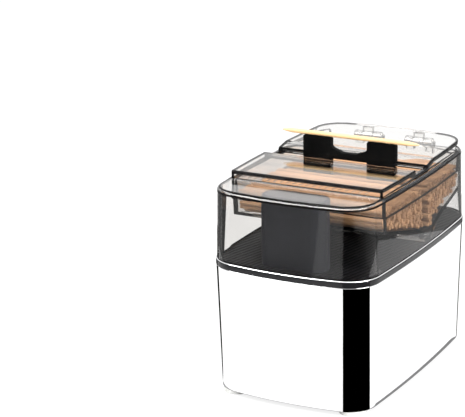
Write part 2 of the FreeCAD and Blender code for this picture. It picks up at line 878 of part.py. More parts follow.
tower_centre_y = -s.tower_front_y + s.tower_depth / 2
tower_top = s.cover_top - s.cover_wall - s.tower_gap
sensor_board_top = tower_top - s.window_thickness - s.sensor_board_drop


def tower_prism(inset, low, high):
    """The tower's plan, drawn in by an inset, between two heights."""
    return rounded_prism(
        s.tower_half_width - inset,
        s.tower_depth / 2 - inset,
        s.tower_corner - inset,
        tower_centre_y,
        low,
        high,
    )


def make_sensor_tower():
    """The tower behind the front wall: a hollow post with the sensors and their window on top."""
    shell = tower_prism(ZERO, s.deck_top, tower_top)
    shell = shell.cut(tower_prism(s.tower_wall, s.deck_top - s.overrun, tower_top + s.overrun))
    ledge_low = sensor_board_top - s.sensor_board_thickness * 2
    ledge = tower_prism(s.tower_wall / 2, ledge_low, sensor_board_top - s.sensor_board_thickness)
    ledge = ledge.cut(tower_prism(s.tower_wall + s.window_ledge, ledge_low - s.overrun, tower_top))
    keep("sensor_tower", shaped("sensor_tower", shell.fuse(ledge)))
    seat = tower_prism(s.tower_wall + s.seat_gap, tower_top - s.window_thickness, tower_top)
    keep("sensor_window", shaped("sensor_window", seat))
    board_low = sensor_board_top - s.sensor_board_thickness
    board = tower_prism(s.tower_wall + s.seat_gap, board_low, sensor_board_top)
    keep("sensor_board", shaped("sensor_board", board))


def make_diode(name, side):
    """A round-nosed infrared diode that stands on the sensor board and looks up."""
    x = s.diode_spacing / 2 * side
    base = rod(f"{name}_flange", "z", (x, tower_centre_y, sensor_board_top), s.diode_flange * 3,
               s.diode_radius + s.diode_flange)
    stem = rod(f"{name}_stem", "z", (x, tower_centre_y, sensor_board_top),
               s.diode_height - s.diode_radius, s.diode_radius)
    nose = doc.addObject("Part::Sphere", f"{name}_nose")
    bind(nose, "Radius", s.diode_radius)
    put(nose, (x, tower_centre_y, sensor_board_top + s.diode_height - s.diode_radius))
    keep(name, joined(name, [base, stem, nose]))


# Clear cover

def make_cover():
    """The clear cover: leaning walls, a rounded shoulder in front, open above the hopper."""
    lean = s.cover_lean / s.cover_height
    wall_top = s.cover_top - s.cover_round

    def outer_inset(z):
        return s.cover_inset + (z - s.band_top) * lean

    levels = [(s.cover_inset, s.band_top)]
    for across_share, below_share in SHOULDER_SHARES:
        z = s.cover_top - s.cover_round * below_share
        levels.append((outer_inset(wall_top) + s.cover_round * across_share, z))
    inner_low = s.band_top - s.overrun
    inner_levels = [
        (outer_inset(inner_low) + s.cover_wall, inner_low),
        (outer_inset(wall_top) + s.cover_wall, wall_top),
        (outer_inset(wall_top) + s.cover_wall + s.cover_round / 2, s.cover_top - s.cover_wall),
    ]
    outside = case_stack(levels)
    walls = shaped("cover_walls", outside.cut(case_stack(inner_levels)))
    reach = s.half_depth + s.overrun
    opening = shared("cover_opening", [
        shaped("cover_inside", case_prism(outer_inset(wall_top) + s.cover_wall,
                                          wall_top - s.cover_round, s.cover_top + s.overrun)),
        box("cover_opening_room", (-reach, -s.cover_opening_y, wall_top - s.cover_round),
            (reach, reach, s.cover_top + s.overrun)),
    ])
    side_trim = box("cover_side_trim", (-reach, -s.cover_opening_y, s.cover_top - s.cover_side_drop),
                    (reach, reach, s.cover_top + s.overrun))
    back_trim = box(
        "cover_back_trim",
        (-s.cover_back_half, s.skirt_back_y, s.cover_top - s.cover_back_drop),
        (s.cover_back_half, reach, s.cover_top + s.overrun),
    )
    shell = without("cover_shell", walls, [opening, side_trim, back_trim])
    knuckles = []
    webs_low = s.cover_top - s.cover_back_drop - s.cover_wall * 2
    web_room = shaped("cover_web_room", outside)
    for side in (1, -1):
        for index, (near, far) in enumerate([
            (s.knuckle_inner_x, s.knuckle_split_x - s.moving_gap),
            (s.knuckle_split_back_x + s.moving_gap, s.knuckle_outer_x),
        ]):
            left = near if side > 0 else -far
            tag = f"{index}_{'right' if side > 0 else 'left'}"
            knuckles.append(rod(f"cover_knuckle_{tag}", "x", (left, s.hinge_y, s.hinge_z),
                                far - near, s.knuckle_radius))
            web = box(f"cover_web_block_{tag}", (left, s.hinge_y, webs_low),
                      (left + far - near, s.half_depth, s.hinge_z))
            knuckles.append(shared(f"cover_web_{tag}", [web, web_room]))
    pin_hole = rod("cover_pin_hole", "x", (-s.knuckle_outer_x - s.overrun, s.hinge_y, s.hinge_z),
                   (s.knuckle_outer_x + s.overrun) * 2, s.hinge_pin_radius + s.running_gap / 2)
    keep("clear_cover", without("clear_cover", joined("cover_whole", [shell] + knuckles), [pin_hole]))


def make_hinge_pins():
    """Two short steel pins through the hinge knuckles."""
    pins = []
    for index, left in enumerate([s.knuckle_inner_x, -s.knuckle_outer_x]):
        pins.append(rod(f"hinge_pin_{index}", "x", (left, s.hinge_y, s.hinge_z),
                        s.knuckle_outer_x - s.knuckle_inner_x, s.hinge_pin_radius))
    keep("hinge_pins", group("hinge_pins", pins))


# Hopper

def hopper_corners():
    """The hopper's side outline as (y, z) corners, from the front top round to the back top."""
    return [
        (-s.hopper_front_y, s.hopper_top),
        (-s.hopper_front_foot_y, s.hopper_front_foot_z),
        (-s.hopper_floor_y, s.hopper_floor_z),
        (s.trough_edge_y, s.trough_edge_z),
        (s.trough_front_y, s.deck_top),
        (s.trough_back_y, s.deck_top),
        (s.rear_slope_y, s.rear_slope_z),
        (s.rear_knee_y, s.rear_knee_z),
        (s.hopper_back_y, s.hopper_back_z),
        (s.hopper_back_y, s.hopper_top),
    ]


def profile_solid(corners, half_width):
    """A solid with (y, z) corners as its side outline, centred on X."""
    points = [FreeCAD.Vector(-float(half_width), float(y), float(z)) for y, z in corners]
    face = Part.Face(Part.makePolygon(points + points[:1]))
    return face.extrude(FreeCAD.Vector(2 * float(half_width), 0, 0))


def hopper_inside(half_width, wall):
    """The space inside the hopper, a wall in from its side outline and open at the top."""
    corners = hopper_corners()
    raised = s.hopper_top + s.overrun
    tall = [(corners[0][0], raised)] + corners[1:-1] + [(corners[-1][0], raised)]
    points = [FreeCAD.Vector(-float(half_width), float(y), float(z)) for y, z in tall]
    face = Part.Face(Part.makePolygon(points + points[:1]))
    inner = face.makeOffset2D(-float(wall), 2)
    return inner.extrude(FreeCAD.Vector(2 * float(half_width), 0, 0))


def make_hopper():
    """The clear hopper: sloping floors that run down to a narrow trough above the fork."""
    body = profile_solid(hopper_corners(), s.half_width)
    body = body.common(case_prism(lid_inset, s.deck_top - s.overrun, s.hopper_top + s.overrun))
    body = body.cut(hopper_inside(s.hopper_inner_half, s.hopper_wall))
    step_low = s.lid_skirt_z - s.moving_gap
    step_back = s.skirt_rise_y + s.moving_gap * 2
    step_corner = FreeCAD.Vector(-float(s.half_width), -float(s.half_depth), float(step_low))
    step = Part.makeBox(float(s.half_width * 2), float(s.half_depth + step_back),
                        float(s.hopper_top - step_low + s.overrun), step_corner)
    lip_inset = lid_inset + s.lid_wall + s.moving_gap
    step = step.cut(case_prism(lip_inset, step_low - s.overrun, s.hopper_top + s.overrun * 2))
    hopper = shaped("hopper_shell", body.cut(step))
    slot = box(
        "trough_slot",
        (-s.prong_outer - s.moving_gap, fork_front - s.moving_gap, s.deck_top - s.overrun),
        (s.prong_outer + s.moving_gap, fork_back + s.moving_gap, s.deck_top + s.hopper_wall * 3),
    )
    keep("hopper", without("hopper", hopper, [slot]))


# Toothpicks

def toothpick(centre_y, centre_z, shift_x):
    """One round toothpick along X, pointed at both ends."""
    half = float(s.pick_length) / 2
    radius = float(s.pick_radius)
    tip = float(s.pick_tip_radius)
    shoulder = half - float(s.pick_point)
    outline = [(-half, 0), (-half, tip), (-shoulder, radius), (shoulder, radius), (half, tip), (half, 0)]
    points = [FreeCAD.Vector(x + shift_x, centre_y + r, centre_z) for x, r in outline]
    face = Part.Face(Part.makePolygon(points + points[:1]))
    return face.revolve(FreeCAD.Vector(0, centre_y, centre_z), FreeCAD.Vector(1, 0, 0), 360)


def make_stock():
    """The toothpicks in the hopper, in staggered rows clear of the walls and of the fork."""
    room = hopper_inside(s.hopper_inner_half, s.hopper_wall + s.pick_radius + s.seat_gap)
    pitch = float(s.pick_pitch)
    row_rise = pitch * math.sqrt(3) / 2
    lowest = float(s.deck_top + s.hopper_wall + s.pick_radius + s.seat_gap)
    highest = float(s.stock_top - s.pick_radius)
    play = float(s.pick_end_play)
    column = float(s.stock_column + s.fork_thickness / 2)
    middle = FreeCAD.Vector(0, 0, 0)
    picks = []
    row = 0
    z = lowest
    while z <= highest:
        start = -float(s.hopper_front_y) + (pitch / 2 if row % 2 else 0.0)
        place = 0
        y = start
        while y < float(s.hopper_back_y):
            middle.x, middle.y, middle.z = 0.0, y, z
            clear_of_fork = abs(y - float(s.fork_y)) >= column
            if clear_of_fork and room.isInside(middle, float(s.running_gap), False):
                shift = play * math.sin(ROW_PHASE * row + PLACE_PHASE * place)
                picks.append(toothpick(y, z, shift))
            y += pitch
            place += 1
        z += row_rise
        row += 1
    keep("toothpick_stock", shaped("toothpick_stock", Part.makeCompound(picks)))


pick_rest_z = s.fork_top - s.groove_depth + s.pick_radius + s.running_gap


def make_presented_pick():
    """The toothpick that lies in the grooves of the raised fork."""
    piece = toothpick(float(s.fork_y), float(pick_rest_z), 0.0)
    keep("presented_toothpick", shaped("presented_toothpick", piece))


# Lid

def make_lid():
    """The clear lid: a raised window, the pick channel with its slot, and the hood behind it."""
    outer_side = [
        (-s.lid_front_y, s.lid_skirt_z),
        (s.skirt_back_y, s.lid_skirt_z),
        (s.skirt_rise_y, s.skirt_rise_z),
        (lid_half_depth, s.skirt_rise_z),
        (lid_half_depth, s.hood_top - s.lid_bevel),
        (lid_half_depth - s.lid_bevel, s.hood_top),
        (s.hood_crest_y, s.hood_top),
        (s.slot_back_y, s.hood_front_z),
        (s.slot_back_y, s.channel_z),
        (-s.channel_front_y + s.lid_bevel, s.channel_z),
        (-s.channel_front_y, s.lid_top - s.lid_bevel),
        (-s.channel_front_y - s.lid_bevel, s.lid_top),
        (-s.lid_front_y + s.lid_bevel, s.lid_top),
        (-s.lid_front_y, s.lid_top - s.lid_bevel),
    ]
    inner_low = s.lid_skirt_z - s.overrun
    inner_back = lid_half_depth + s.overrun
    inner_side = [
        (-s.lid_front_y + s.lid_wall, inner_low),
        (inner_back, inner_low),
        (inner_back, s.hood_top - s.lid_plate),
        (s.hood_crest_y, s.hood_top - s.lid_plate),
        (s.slot_back_y + s.lid_plate, s.hood_front_z - s.lid_plate),
        (s.slot_back_y + s.lid_plate, s.channel_z - s.lid_plate),
        (-s.channel_front_y - s.lid_plate / 2, s.channel_z - s.lid_plate),
        (-s.channel_front_y - s.lid_plate, s.lid_top - s.lid_plate),
        (-s.lid_front_y + s.lid_wall, s.lid_top - s.lid_plate),
    ]
    plan_low = float(s.lid_skirt_z - s.overrun)
    plan_rise = FreeCAD.Vector(0, 0, float(s.hood_top - s.lid_skirt_z + s.overrun * 2))

    def plan(inset):
        wire = outline_wire(
            float(lid_half_width) - inset, float(lid_half_depth) - inset,
            float(s.front_bow) - inset, float(s.side_bow) - inset, float(s.lid_corner) - inset, plan_low,
        )
        return Part.Face(wire).extrude(plan_rise)

    outer = shared("lid_outside", [
        slab("lid_outer_side", "YZ_Plane", -s.half_width, s.half_width, outer_side),
        shaped("lid_outer_plan", plan(0.0)),
    ])
    inner = shared("lid_inside", [
        slab("lid_inner_side", "YZ_Plane", -s.half_width, s.half_width, inner_side),
        shaped("lid_inner_plan", plan(float(s.lid_wall))),
    ])
    slot = box("lid_slot", (-s.slot_half_width, s.slot_front_y, s.channel_z - s.overrun),
               (s.slot_half_width, s.slot_back_y, s.channel_z + s.overrun))
    pieces = [without("lid_shell", outer, [inner, slot])]
    for side in (1, -1):
        left = s.knuckle_split_x if side > 0 else -s.knuckle_split_back_x
        tag = "right" if side > 0 else "left"
        length = s.knuckle_split_back_x - s.knuckle_split_x
        knuckle_start = (left, s.hinge_y, s.hinge_z)
        pieces.append(rod(f"lid_knuckle_{tag}", "x", knuckle_start, length, s.knuckle_radius))
        pieces.append(box(f"lid_web_{tag}",
                          (left, s.hinge_y - s.knuckle_web / 2, s.hinge_z),
                          (left + length, s.hinge_y + s.knuckle_web / 2, s.hood_top - s.lid_plate / 2)))
    pin_hole = rod("lid_pin_hole", "x", (-s.knuckle_outer_x, s.hinge_y, s.hinge_z),
                   s.knuckle_outer_x * 2, s.hinge_pin_radius + s.running_gap)
    keep("lid", without("lid", joined("lid_whole", pieces), [pin_hole]))


# Gear teeth

def flank_half_angle(teeth, radius, backlash):
    """Half the angle that a tooth covers at a radius, by the involute's formula."""
    pitch_radius = teeth * float(s.gear_module) / 2
    base_radius = pitch_radius * math.cos(PRESSURE_ANGLE)
    at_pitch = math.pi / (2 * teeth) - backlash / (2 * pitch_radius)
    angle = math.acos(min(1.0, base_radius / radius))
    return at_pitch + (math.tan(PRESSURE_ANGLE) - PRESSURE_ANGLE) - (math.tan(angle) - angle)


def gear_solid(teeth, centre, low_y, high_y, tooth_angle, bore):
    """A spur gear along Y with a tooth centred on an angle in the XZ plane."""
    module = float(s.gear_module)
    backlash = float(s.gear_backlash) / 2
    pitch_radius = teeth * module / 2
    base_radius = pitch_radius * math.cos(PRESSURE_ANGLE)
    root_radius = pitch_radius - DEDENDUM_SHARE * module
    tip_radius = pitch_radius + ADDENDUM_SHARE * module
    start_radius = max(base_radius, root_radius)
    steps = FLANK_STEPS
    flank = [start_radius + (tip_radius - start_radius) * step / (steps - 1) for step in range(steps)]
    profile = [(radius, flank_half_angle(teeth, radius, backlash)) for radius in flank]
    if root_radius < base_radius:
        profile.insert(0, (root_radius, profile[0][1]))
    points = []
    for tooth in range(teeth):
        middle = tooth_angle + 2 * math.pi * tooth / teeth
        rising = [(radius, middle - half) for radius, half in profile]
        falling = [(radius, middle + half) for radius, half in reversed(profile)]
        for radius, angle in rising + falling:
            x = float(centre[0]) + radius * math.cos(angle)
            z = float(centre[1]) + radius * math.sin(angle)
            points.append(FreeCAD.Vector(x, float(low_y), z))
    face = Part.Face(Part.makePolygon(points + points[:1]))
    solid = face.extrude(FreeCAD.Vector(0, float(high_y) - float(low_y), 0))
    if float(bore) > 0:
        solid = solid.cut(disc(centre, low_y - s.overrun, high_y + s.overrun, bore))
    return solid


def disc(centre, low_y, high_y, radius):
    """A round solid along Y."""
    start = FreeCAD.Vector(float(centre[0]), float(low_y), float(centre[1]))
    return Part.makeCylinder(float(radius), float(high_y) - float(low_y), start, FreeCAD.Vector(0, 1, 0))


# Drive train places: each pair of wheels meets at its pitch circles
output_pinion_radius = s.gear_module * OUTPUT_PINION_TEETH / 2
stage_distance = s.gear_module * (WHEEL_TEETH + SMALL_TEETH) / 2
rack_line_x = s.prong_outer - s.gear_module * ADDENDUM_SHARE
output_centre = (rack_line_x + output_pinion_radius + s.output_x_gap, s.output_z)


def dropped_centre(above, x):
    """The centre one stage below another, at a given X."""
    aside = x - above[0]
    drop = math.sqrt(float(stage_distance) ** 2 - float(aside) ** 2)
    drop_text = f"sqrt({stage_distance.text}^2 - {aside.text}^2)"
    return (x, above[1] - Size(drop, drop_text))


second_centre = dropped_centre(output_centre, output_centre[0] - s.second_gear_in)
s.box_left_x = second_centre[0] - s.box_left_reach
first_centre = (second_centre[0], second_centre[1] - stage_distance)
motor_centre = (
    first_centre[0] + stage_distance * math.cos(MOTOR_DIRECTION),
    first_centre[1] + stage_distance * math.sin(MOTOR_DIRECTION),
)
plane_start = s.front_plate_y + s.box_plate + s.gear_space
plane_step = s.gear_width + s.gear_space
back_plate_y = plane_start + plane_step * 3


def towards(start, end):
    """The angle in the XZ plane from one centre to another."""
    return math.atan2(float(end[1]) - float(start[1]), float(end[0]) - float(start[0]))


def gap_towards(teeth, start, end):
    """The tooth angle that puts the middle of a gap on the line to another centre."""
    return towards(start, end) + math.pi / teeth


def plane(index):
    """The two Y places of one gear plane between the gearbox plates."""
    low = plane_start + plane_step * index
    return low, low + s.gear_width


def make_output_drive():
    """The output shaft with its wheel and, in front of the gearbox, the pinion for the rack."""
    pinion_low = s.fork_y - s.pinion_width / 2
    shaft_end = back_plate_y + s.box_plate
    shaft = disc(output_centre, pinion_low - s.gear_space, shaft_end, s.gear_pin_radius)
    keep("output_shaft", shaped("output_shaft", shaft))
    wheel_low, wheel_high = plane(0)
    grip = s.gear_pin_radius
    wheel = gear_solid(WHEEL_TEETH, output_centre, wheel_low, wheel_high,
                       towards(output_centre, second_centre), grip)
    keep("output_gear", shaped("output_gear", wheel))
    pinion = gear_solid(OUTPUT_PINION_TEETH, output_centre, pinion_low, pinion_low + s.pinion_width,
                        math.pi + math.pi / OUTPUT_PINION_TEETH, grip)
    keep("lift_pinion", shaped("lift_pinion", pinion))


def compound_gear(name, centre, upper, lower, wheel_plane):
    """A wheel and a pinion in one piece, turning on a fixed pin."""
    bore = s.gear_pin_radius + s.running_gap
    wheel_low, wheel_high = plane(wheel_plane)
    pinion_low = plane(wheel_plane - 1)[0]
    wheel = gear_solid(WHEEL_TEETH, centre, wheel_low, wheel_high, towards(centre, lower), bore)
    pinion = gear_solid(SMALL_TEETH, centre, pinion_low, wheel_low + s.gear_width / 2,
                        gap_towards(SMALL_TEETH, centre, upper), bore)
    keep(name, shaped(name, wheel.fuse(pinion).removeSplitter()))


def make_gear_pins():
    """Two fixed pins that carry the compound gears between the plates."""
    pins = []
    for centre in (second_centre, first_centre):
        pins.append(disc(centre, s.front_plate_y, back_plate_y + s.box_plate, s.gear_pin_radius))
    keep("gear_pins", shaped("gear_pins", Part.makeCompound(pins)))


# Gearbox plates

def plate_fastener_places():
    """Where the three pillars hold the two plates apart."""
    inset = s.pillar_radius + s.box_plate / 2
    return [
        (s.box_left_x + inset, s.deck_bottom - inset * 2),
        (s.box_left_x + inset, s.output_z - s.crossbar_height * 2),
        (s.box_right_x - inset, s.box_low_z + inset),
    ]


def make_gearbox_plates():
    """The two plates, with pillars on the back one and a flange up to the deck."""
    outline = rectangle(s.box_left_x, s.box_low_z, s.box_right_x, s.deck_bottom)
    hole = s.gear_pin_radius + s.running_gap
    axles = [(output_centre, hole), (second_centre, s.gear_pin_radius), (first_centre, s.gear_pin_radius)]
    screws = [(place, s.screw_radius + s.seat_gap) for place in plate_fastener_places()]
    front_axles = axles + [(motor_centre, s.motor_boss_radius)]
    front = slab("gearbox_front_plate", "XZ_Plane", s.front_plate_y, s.front_plate_y + s.box_plate,
                 outline, front_axles + screws)
    keep("gearbox_front_plate", front)
    motor_holes = [(motor_centre, s.motor_boss_radius + s.seat_gap)]
    for place in motor_screw_places():
        motor_holes.append((place, s.screw_radius + s.seat_gap))
    back_sheet = slab("gearbox_back_sheet", "XZ_Plane", back_plate_y, back_plate_y + s.box_plate,
                      outline, axles + motor_holes)
    pieces = [back_sheet]
    pillar_start = s.front_plate_y + s.box_plate
    for index, (x, z) in enumerate(plate_fastener_places()):
        pieces.append(rod(f"pillar_{index}", "y", (x, pillar_start, z),
                          back_plate_y - pillar_start + s.box_plate / 2, s.pillar_radius))
    pieces.append(box("gearbox_flange", (s.box_left_x, back_plate_y, s.deck_bottom - s.box_plate),
                      (s.box_right_x, back_plate_y + s.flange_depth, s.deck_bottom)))
    bores = []
    for index, (x, z) in enumerate(plate_fastener_places()):
        bores.append(rod(f"pillar_bore_{index}", "y", (x, pillar_start - s.overrun, z),
                         s.overrun + s.screw_length, s.screw_radius + s.running_gap))
    for index, (x, z) in enumerate(motor_screw_places()):
        bores.append(rod(f"motor_sink_{index}", "y", (x, back_plate_y - s.overrun, z),
                         s.overrun + s.screw_head_height, s.screw_head_radius + s.seat_gap))
    keep("gearbox_back_plate", without("gearbox_back_plate", joined("gearbox_back_whole", pieces), bores))
    fasteners = []
    for index, (x, z) in enumerate(plate_fastener_places()):
        head = (x, s.front_plate_y - s.screw_head_height, z)
        fasteners.append(screw(f"gearbox_screw_{index}", "y", head, 1, s.screw_length))
    keep("gearbox_screws", group("gearbox_screws", fasteners))


# Motor

def motor_screw_places():
    """Where the two motor screws enter the can's front face."""
    return [
        (motor_centre[0] - s.motor_screw_offset, motor_centre[1]),
        (motor_centre[0] + s.motor_screw_offset, motor_centre[1]),
    ]


motor_front_y = back_plate_y + s.box_plate
motor_back_y = motor_front_y + s.motor_length


def flat_sided(radius, flat, low_y, high_y):
    """A round solid along Y about the motor's axis, with two flats above and below."""
    round_part = disc(motor_centre, low_y, high_y, radius)
    corner = FreeCAD.Vector(
        float(motor_centre[0]) - float(radius), float(low_y), float(motor_centre[1]) - float(flat)
    )
    room = Part.makeBox(2 * float(radius), float(high_y) - float(low_y), 2 * float(flat), corner)
    return round_part.common(room)


def make_motor():
    """The small motor: can, end cap, terminals, and the rotor that turns in it."""
    boss_front = motor_front_y - s.motor_boss_length
    can = flat_sided(s.motor_radius, s.motor_flat, motor_front_y, motor_back_y)
    can = can.cut(flat_sided(s.motor_radius - s.motor_wall, s.motor_flat - s.motor_wall,
                             motor_front_y + s.motor_wall, motor_back_y + s.overrun))
    can = can.fuse(disc(motor_centre, boss_front, motor_front_y + s.motor_wall, s.motor_boss_radius))
    shaft_hole = s.motor_shaft_radius + s.running_gap
    can = can.cut(disc(motor_centre, boss_front - s.overrun, motor_front_y + s.overrun, shaft_hole))
    for place in motor_screw_places():
        can = can.cut(disc(place, boss_front, motor_front_y + s.overrun, s.screw_radius + s.running_gap))
    keep("motor_can", shaped("motor_can", can))
    cap_front = motor_back_y - s.motor_cap_length / 2
    cap_radius = s.motor_radius - s.motor_wall - s.seat_gap
    cap_flat = s.motor_flat - s.motor_wall - s.seat_gap
    cap = flat_sided(cap_radius, cap_flat, cap_front, motor_back_y)
    cap = cap.fuse(flat_sided(s.motor_radius, s.motor_flat, motor_back_y, cap_front + s.motor_cap_length))
    cap = cap.cut(disc(motor_centre, cap_front - s.overrun, cap_front + s.motor_cap_length / 2, shaft_hole))
    keep("motor_end_cap", shaped("motor_end_cap", cap.removeSplitter()))
    terminals = []
    for index, side in enumerate((1, -1)):
        x = motor_centre[0] + s.motor_screw_offset * side
        z = motor_centre[1] - s.terminal_thickness / 2
        start_y = cap_front + s.motor_cap_length
        terminals.append(box(f"terminal_{index}", (x - s.terminal_width / 2, start_y, z),
                             (x + s.terminal_width / 2, start_y + s.terminal_length,
                              z + s.terminal_thickness)))
    keep("motor_terminals", group("motor_terminals", terminals))
    pinion_low, pinion_high = plane(2)
    shaft = disc(motor_centre, pinion_low, cap_front + s.motor_cap_length / 2 - s.seat_gap,
                 s.motor_shaft_radius)
    keep("motor_shaft", shaped("motor_shaft", shaft))
    pinion = gear_solid(SMALL_TEETH, motor_centre, pinion_low, pinion_high,
                        gap_towards(SMALL_TEETH, motor_centre, first_centre), s.motor_shaft_radius)
    keep("motor_pinion", shaped("motor_pinion", pinion))
    core_low = motor_front_y + (s.motor_length - s.armature_length) / 2
    core = disc(motor_centre, core_low, core_low + s.armature_length, s.armature_radius)
    core = core.cut(disc(motor_centre, core_low - s.overrun, motor_back_y, s.motor_shaft_radius))
    core_middle = FreeCAD.Vector(float(motor_centre[0]), 0, float(motor_centre[1]))
    slot_corner = FreeCAD.Vector(
        float(motor_centre[0]) + float(s.armature_radius) / 2, float(core_low - s.overrun),
        float(motor_centre[1]) - float(s.armature_slot) / 2,
    )
    slot = Part.makeBox(float(s.armature_radius), float(s.armature_length + s.overrun * 2),
                        float(s.armature_slot), slot_corner)
    for turn in range(ARMATURE_SLOTS):
        turned = slot.copy()
        turned.rotate(core_middle, FreeCAD.Vector(0, 1, 0), 360 * turn / ARMATURE_SLOTS)
        core = core.cut(turned)
    keep("motor_armature", shaped("motor_armature", core))
    fasteners = []
    for index, (x, z) in enumerate(motor_screw_places()):
        head = (x, back_plate_y, z)
        shank = s.box_plate - s.screw_head_height + s.motor_wall + s.gear_space
        fasteners.append(screw(f"motor_screw_{index}", "y", head, 1, shank))
    keep("motor_screws", group("motor_screws", fasteners))


# Lifter and its guides

def make_lifter():
    """The lifter: two prongs joined by a dipped bridge above and a crossbar at the foot."""
    prong_foot = s.fork_foot
    bridge_low = s.fork_top - s.bridge_dip - s.bridge_depth
    flank_z = s.fork_top - s.bridge_flank
    dip_z = s.fork_top - s.bridge_dip
    right = [
        (s.bridge_dip_x, dip_z),
        (s.prong_inner - s.prong_chamfer, flank_z - s.prong_chamfer),
        (s.prong_inner, flank_z),
        (s.prong_inner, s.fork_top - s.prong_chamfer),
        (s.prong_inner + s.prong_chamfer, s.fork_top),
        (s.prong_outer - s.prong_chamfer, s.fork_top),
        (s.prong_outer, s.fork_top - s.prong_chamfer),
        (s.prong_outer, prong_foot),
    ]
    left = [(-x, z) for x, z in reversed(right)]
    outline = slab("lifter_outline", "XZ_Plane", fork_front, fork_back, right + left)
    opening = box(
        "lifter_opening",
        (-s.prong_inner, fork_front - s.overrun, prong_foot + s.crossbar_height),
        (s.prong_inner, fork_back + s.overrun, bridge_low),
    )
    groove_radius = s.pick_radius + s.running_gap
    groove = rod("lifter_groove", "x", (-s.prong_outer - s.overrun, s.fork_y, pick_rest_z),
                 (s.prong_outer + s.overrun) * 2, groove_radius)
    gaps = shaped("rack_gaps", rack_gaps())
    keep("lifter_fork", without("lifter_fork", outline, [opening, groove, gaps]))


def rack_gaps():
    """The gaps between the rack's teeth on the lifter's right edge."""
    module = float(s.gear_module)
    pitch = math.pi * module
    tip_x = float(s.prong_outer)
    line_x = float(rack_line_x)
    root_x = line_x - DEDENDUM_SHARE * module
    slope = math.tan(PRESSURE_ANGLE)
    half_gap = pitch / 4 + float(s.gear_backlash) / 4
    clear = module
    half_root = half_gap - (line_x - root_x) * slope
    half_tip = half_gap + (tip_x + clear - line_x) * slope
    front = float(fork_front - s.overrun)
    depth = FreeCAD.Vector(0, float(s.fork_thickness + s.overrun * 2), 0)
    gaps = []
    first_gap = float(s.output_z) + pitch / 2
    lowest = float(s.fork_foot)
    while first_gap - pitch > lowest:
        first_gap -= pitch
    z = first_gap
    rack_top = s.output_z + s.fork_travel + s.rack_overlap
    while z < float(rack_top):
        outline = [(root_x, -half_root), (tip_x + clear, -half_tip), (tip_x + clear, half_tip),
                   (root_x, half_root)]
        points = [FreeCAD.Vector(x, front, z + up) for x, up in outline]
        gaps.append(Part.Face(Part.makePolygon(points + points[:1])).extrude(depth))
        z += pitch
    return Part.makeCompound(gaps)


def guide(name, side, low, high):
    """A U-shaped rail round one outer edge of the lifter; side is 1 for the right one."""
    inner = s.prong_outer + s.moving_gap
    shell_low_y = fork_front - s.moving_gap - s.guide_wall
    shell_high_y = fork_back + s.moving_gap + s.guide_wall
    outer_x = inner + s.guide_wall
    grip_x = s.prong_outer - s.guide_grip
    outline = [
        (grip_x, shell_low_y),
        (outer_x, shell_low_y),
        (outer_x, shell_high_y),
        (grip_x, shell_high_y),
        (grip_x, fork_back + s.moving_gap),
        (inner, fork_back + s.moving_gap),
        (inner, fork_front - s.moving_gap),
        (grip_x, fork_front - s.moving_gap),
    ]
    if side < 0:
        outline = [(-x, y) for x, y in outline]
    keep(name, slab(name, "XY_Plane", low, high, outline))


# Batteries

def make_battery_tray():
    """The battery tray: open below, with a round seat over each cell."""
    inset = s.sleeve_taper + s.sleeve_wall + s.moving_gap
    room = shaped("tray_room", case_prism(inset, s.plate_top, s.tray_top))
    block = box("tray_block", (-s.tray_half_width, -s.tray_front_y, s.plate_top),
                (s.tray_half_width, s.tray_back_y, s.tray_top))
    outside = shared("tray_outside", [room, block])
    inner_front = -s.cell_front_y - s.contact_thickness * 2
    inner_back = s.tray_back_y - s.tray_wall
    cuts = [box("tray_inside", (-s.tray_half_width + s.tray_wall, inner_front, s.plate_top - s.overrun),
                (s.tray_half_width - s.tray_wall, inner_back, s.cell_z))]
    for index, share in enumerate(CELL_SHARES):
        cuts.append(rod(f"tray_seat_{index}", "y", (s.cell_pitch * share, inner_front, s.cell_z),
                        inner_back - inner_front, s.cell_radius + s.cell_play))
    keep("battery_tray", without("battery_tray", outside, cuts))


def make_cells():
    """Four round cells, side by side, every other one turned about."""
    cells = []
    for index, share in enumerate(CELL_SHARES):
        x = s.cell_pitch * share
        if index % 2 == 0:
            body_start = -s.cell_front_y
            nub_start = body_start + s.cell_length
        else:
            nub_start = -s.cell_front_y
            body_start = nub_start + s.cell_nub_length
        body = rod(f"cell_body_{index}", "y", (x, body_start, s.cell_z), s.cell_length, s.cell_radius)
        nub = rod(f"cell_nub_{index}", "y", (x, nub_start, s.cell_z), s.cell_nub_length, s.cell_nub_radius)
        cells.append(joined(f"cell_{index}", [body, nub]))
    keep("batteries", group("batteries", cells))


def make_contacts():
    """Plate contacts at both ends of the cells, the back ones with a sprung bump."""
    contacts = []
    inner_back = s.tray_back_y - s.tray_wall
    cell_back = -s.cell_front_y + s.cell_length + s.cell_nub_length
    for index, share in enumerate(CELL_SHARES):
        x = s.cell_pitch * share
        front = -s.cell_front_y - s.contact_thickness * 2
        contacts.append(box(f"contact_front_{index}",
                            (x - s.contact_half, front, s.cell_z - s.contact_half),
                            (x + s.contact_half, front + s.contact_thickness, s.cell_z + s.contact_half)))
        plate_y = inner_back - s.contact_thickness
        sheet_part = box(f"contact_back_{index}",
                         (x - s.contact_half, plate_y, s.cell_z - s.contact_half),
                         (x + s.contact_half, inner_back, s.cell_z + s.contact_half))
        bump = doc.addObject("Part::Cone", f"contact_bump_{index}")
        bump.Placement.Rotation = TURNS["y"]
        bind(bump, "Radius1", s.cell_nub_radius / 2)
        bind(bump, "Radius2", s.cell_nub_radius)
        bump_start = cell_back + s.seat_gap
        bind(bump, "Height", plate_y - bump_start + s.contact_thickness / 2)
        put(bump, (x, bump_start, s.cell_z))
        contacts.append(joined(f"contact_sprung_{index}", [sheet_part, bump]))
    keep("battery_contacts", group("battery_contacts", contacts))


# Electronics

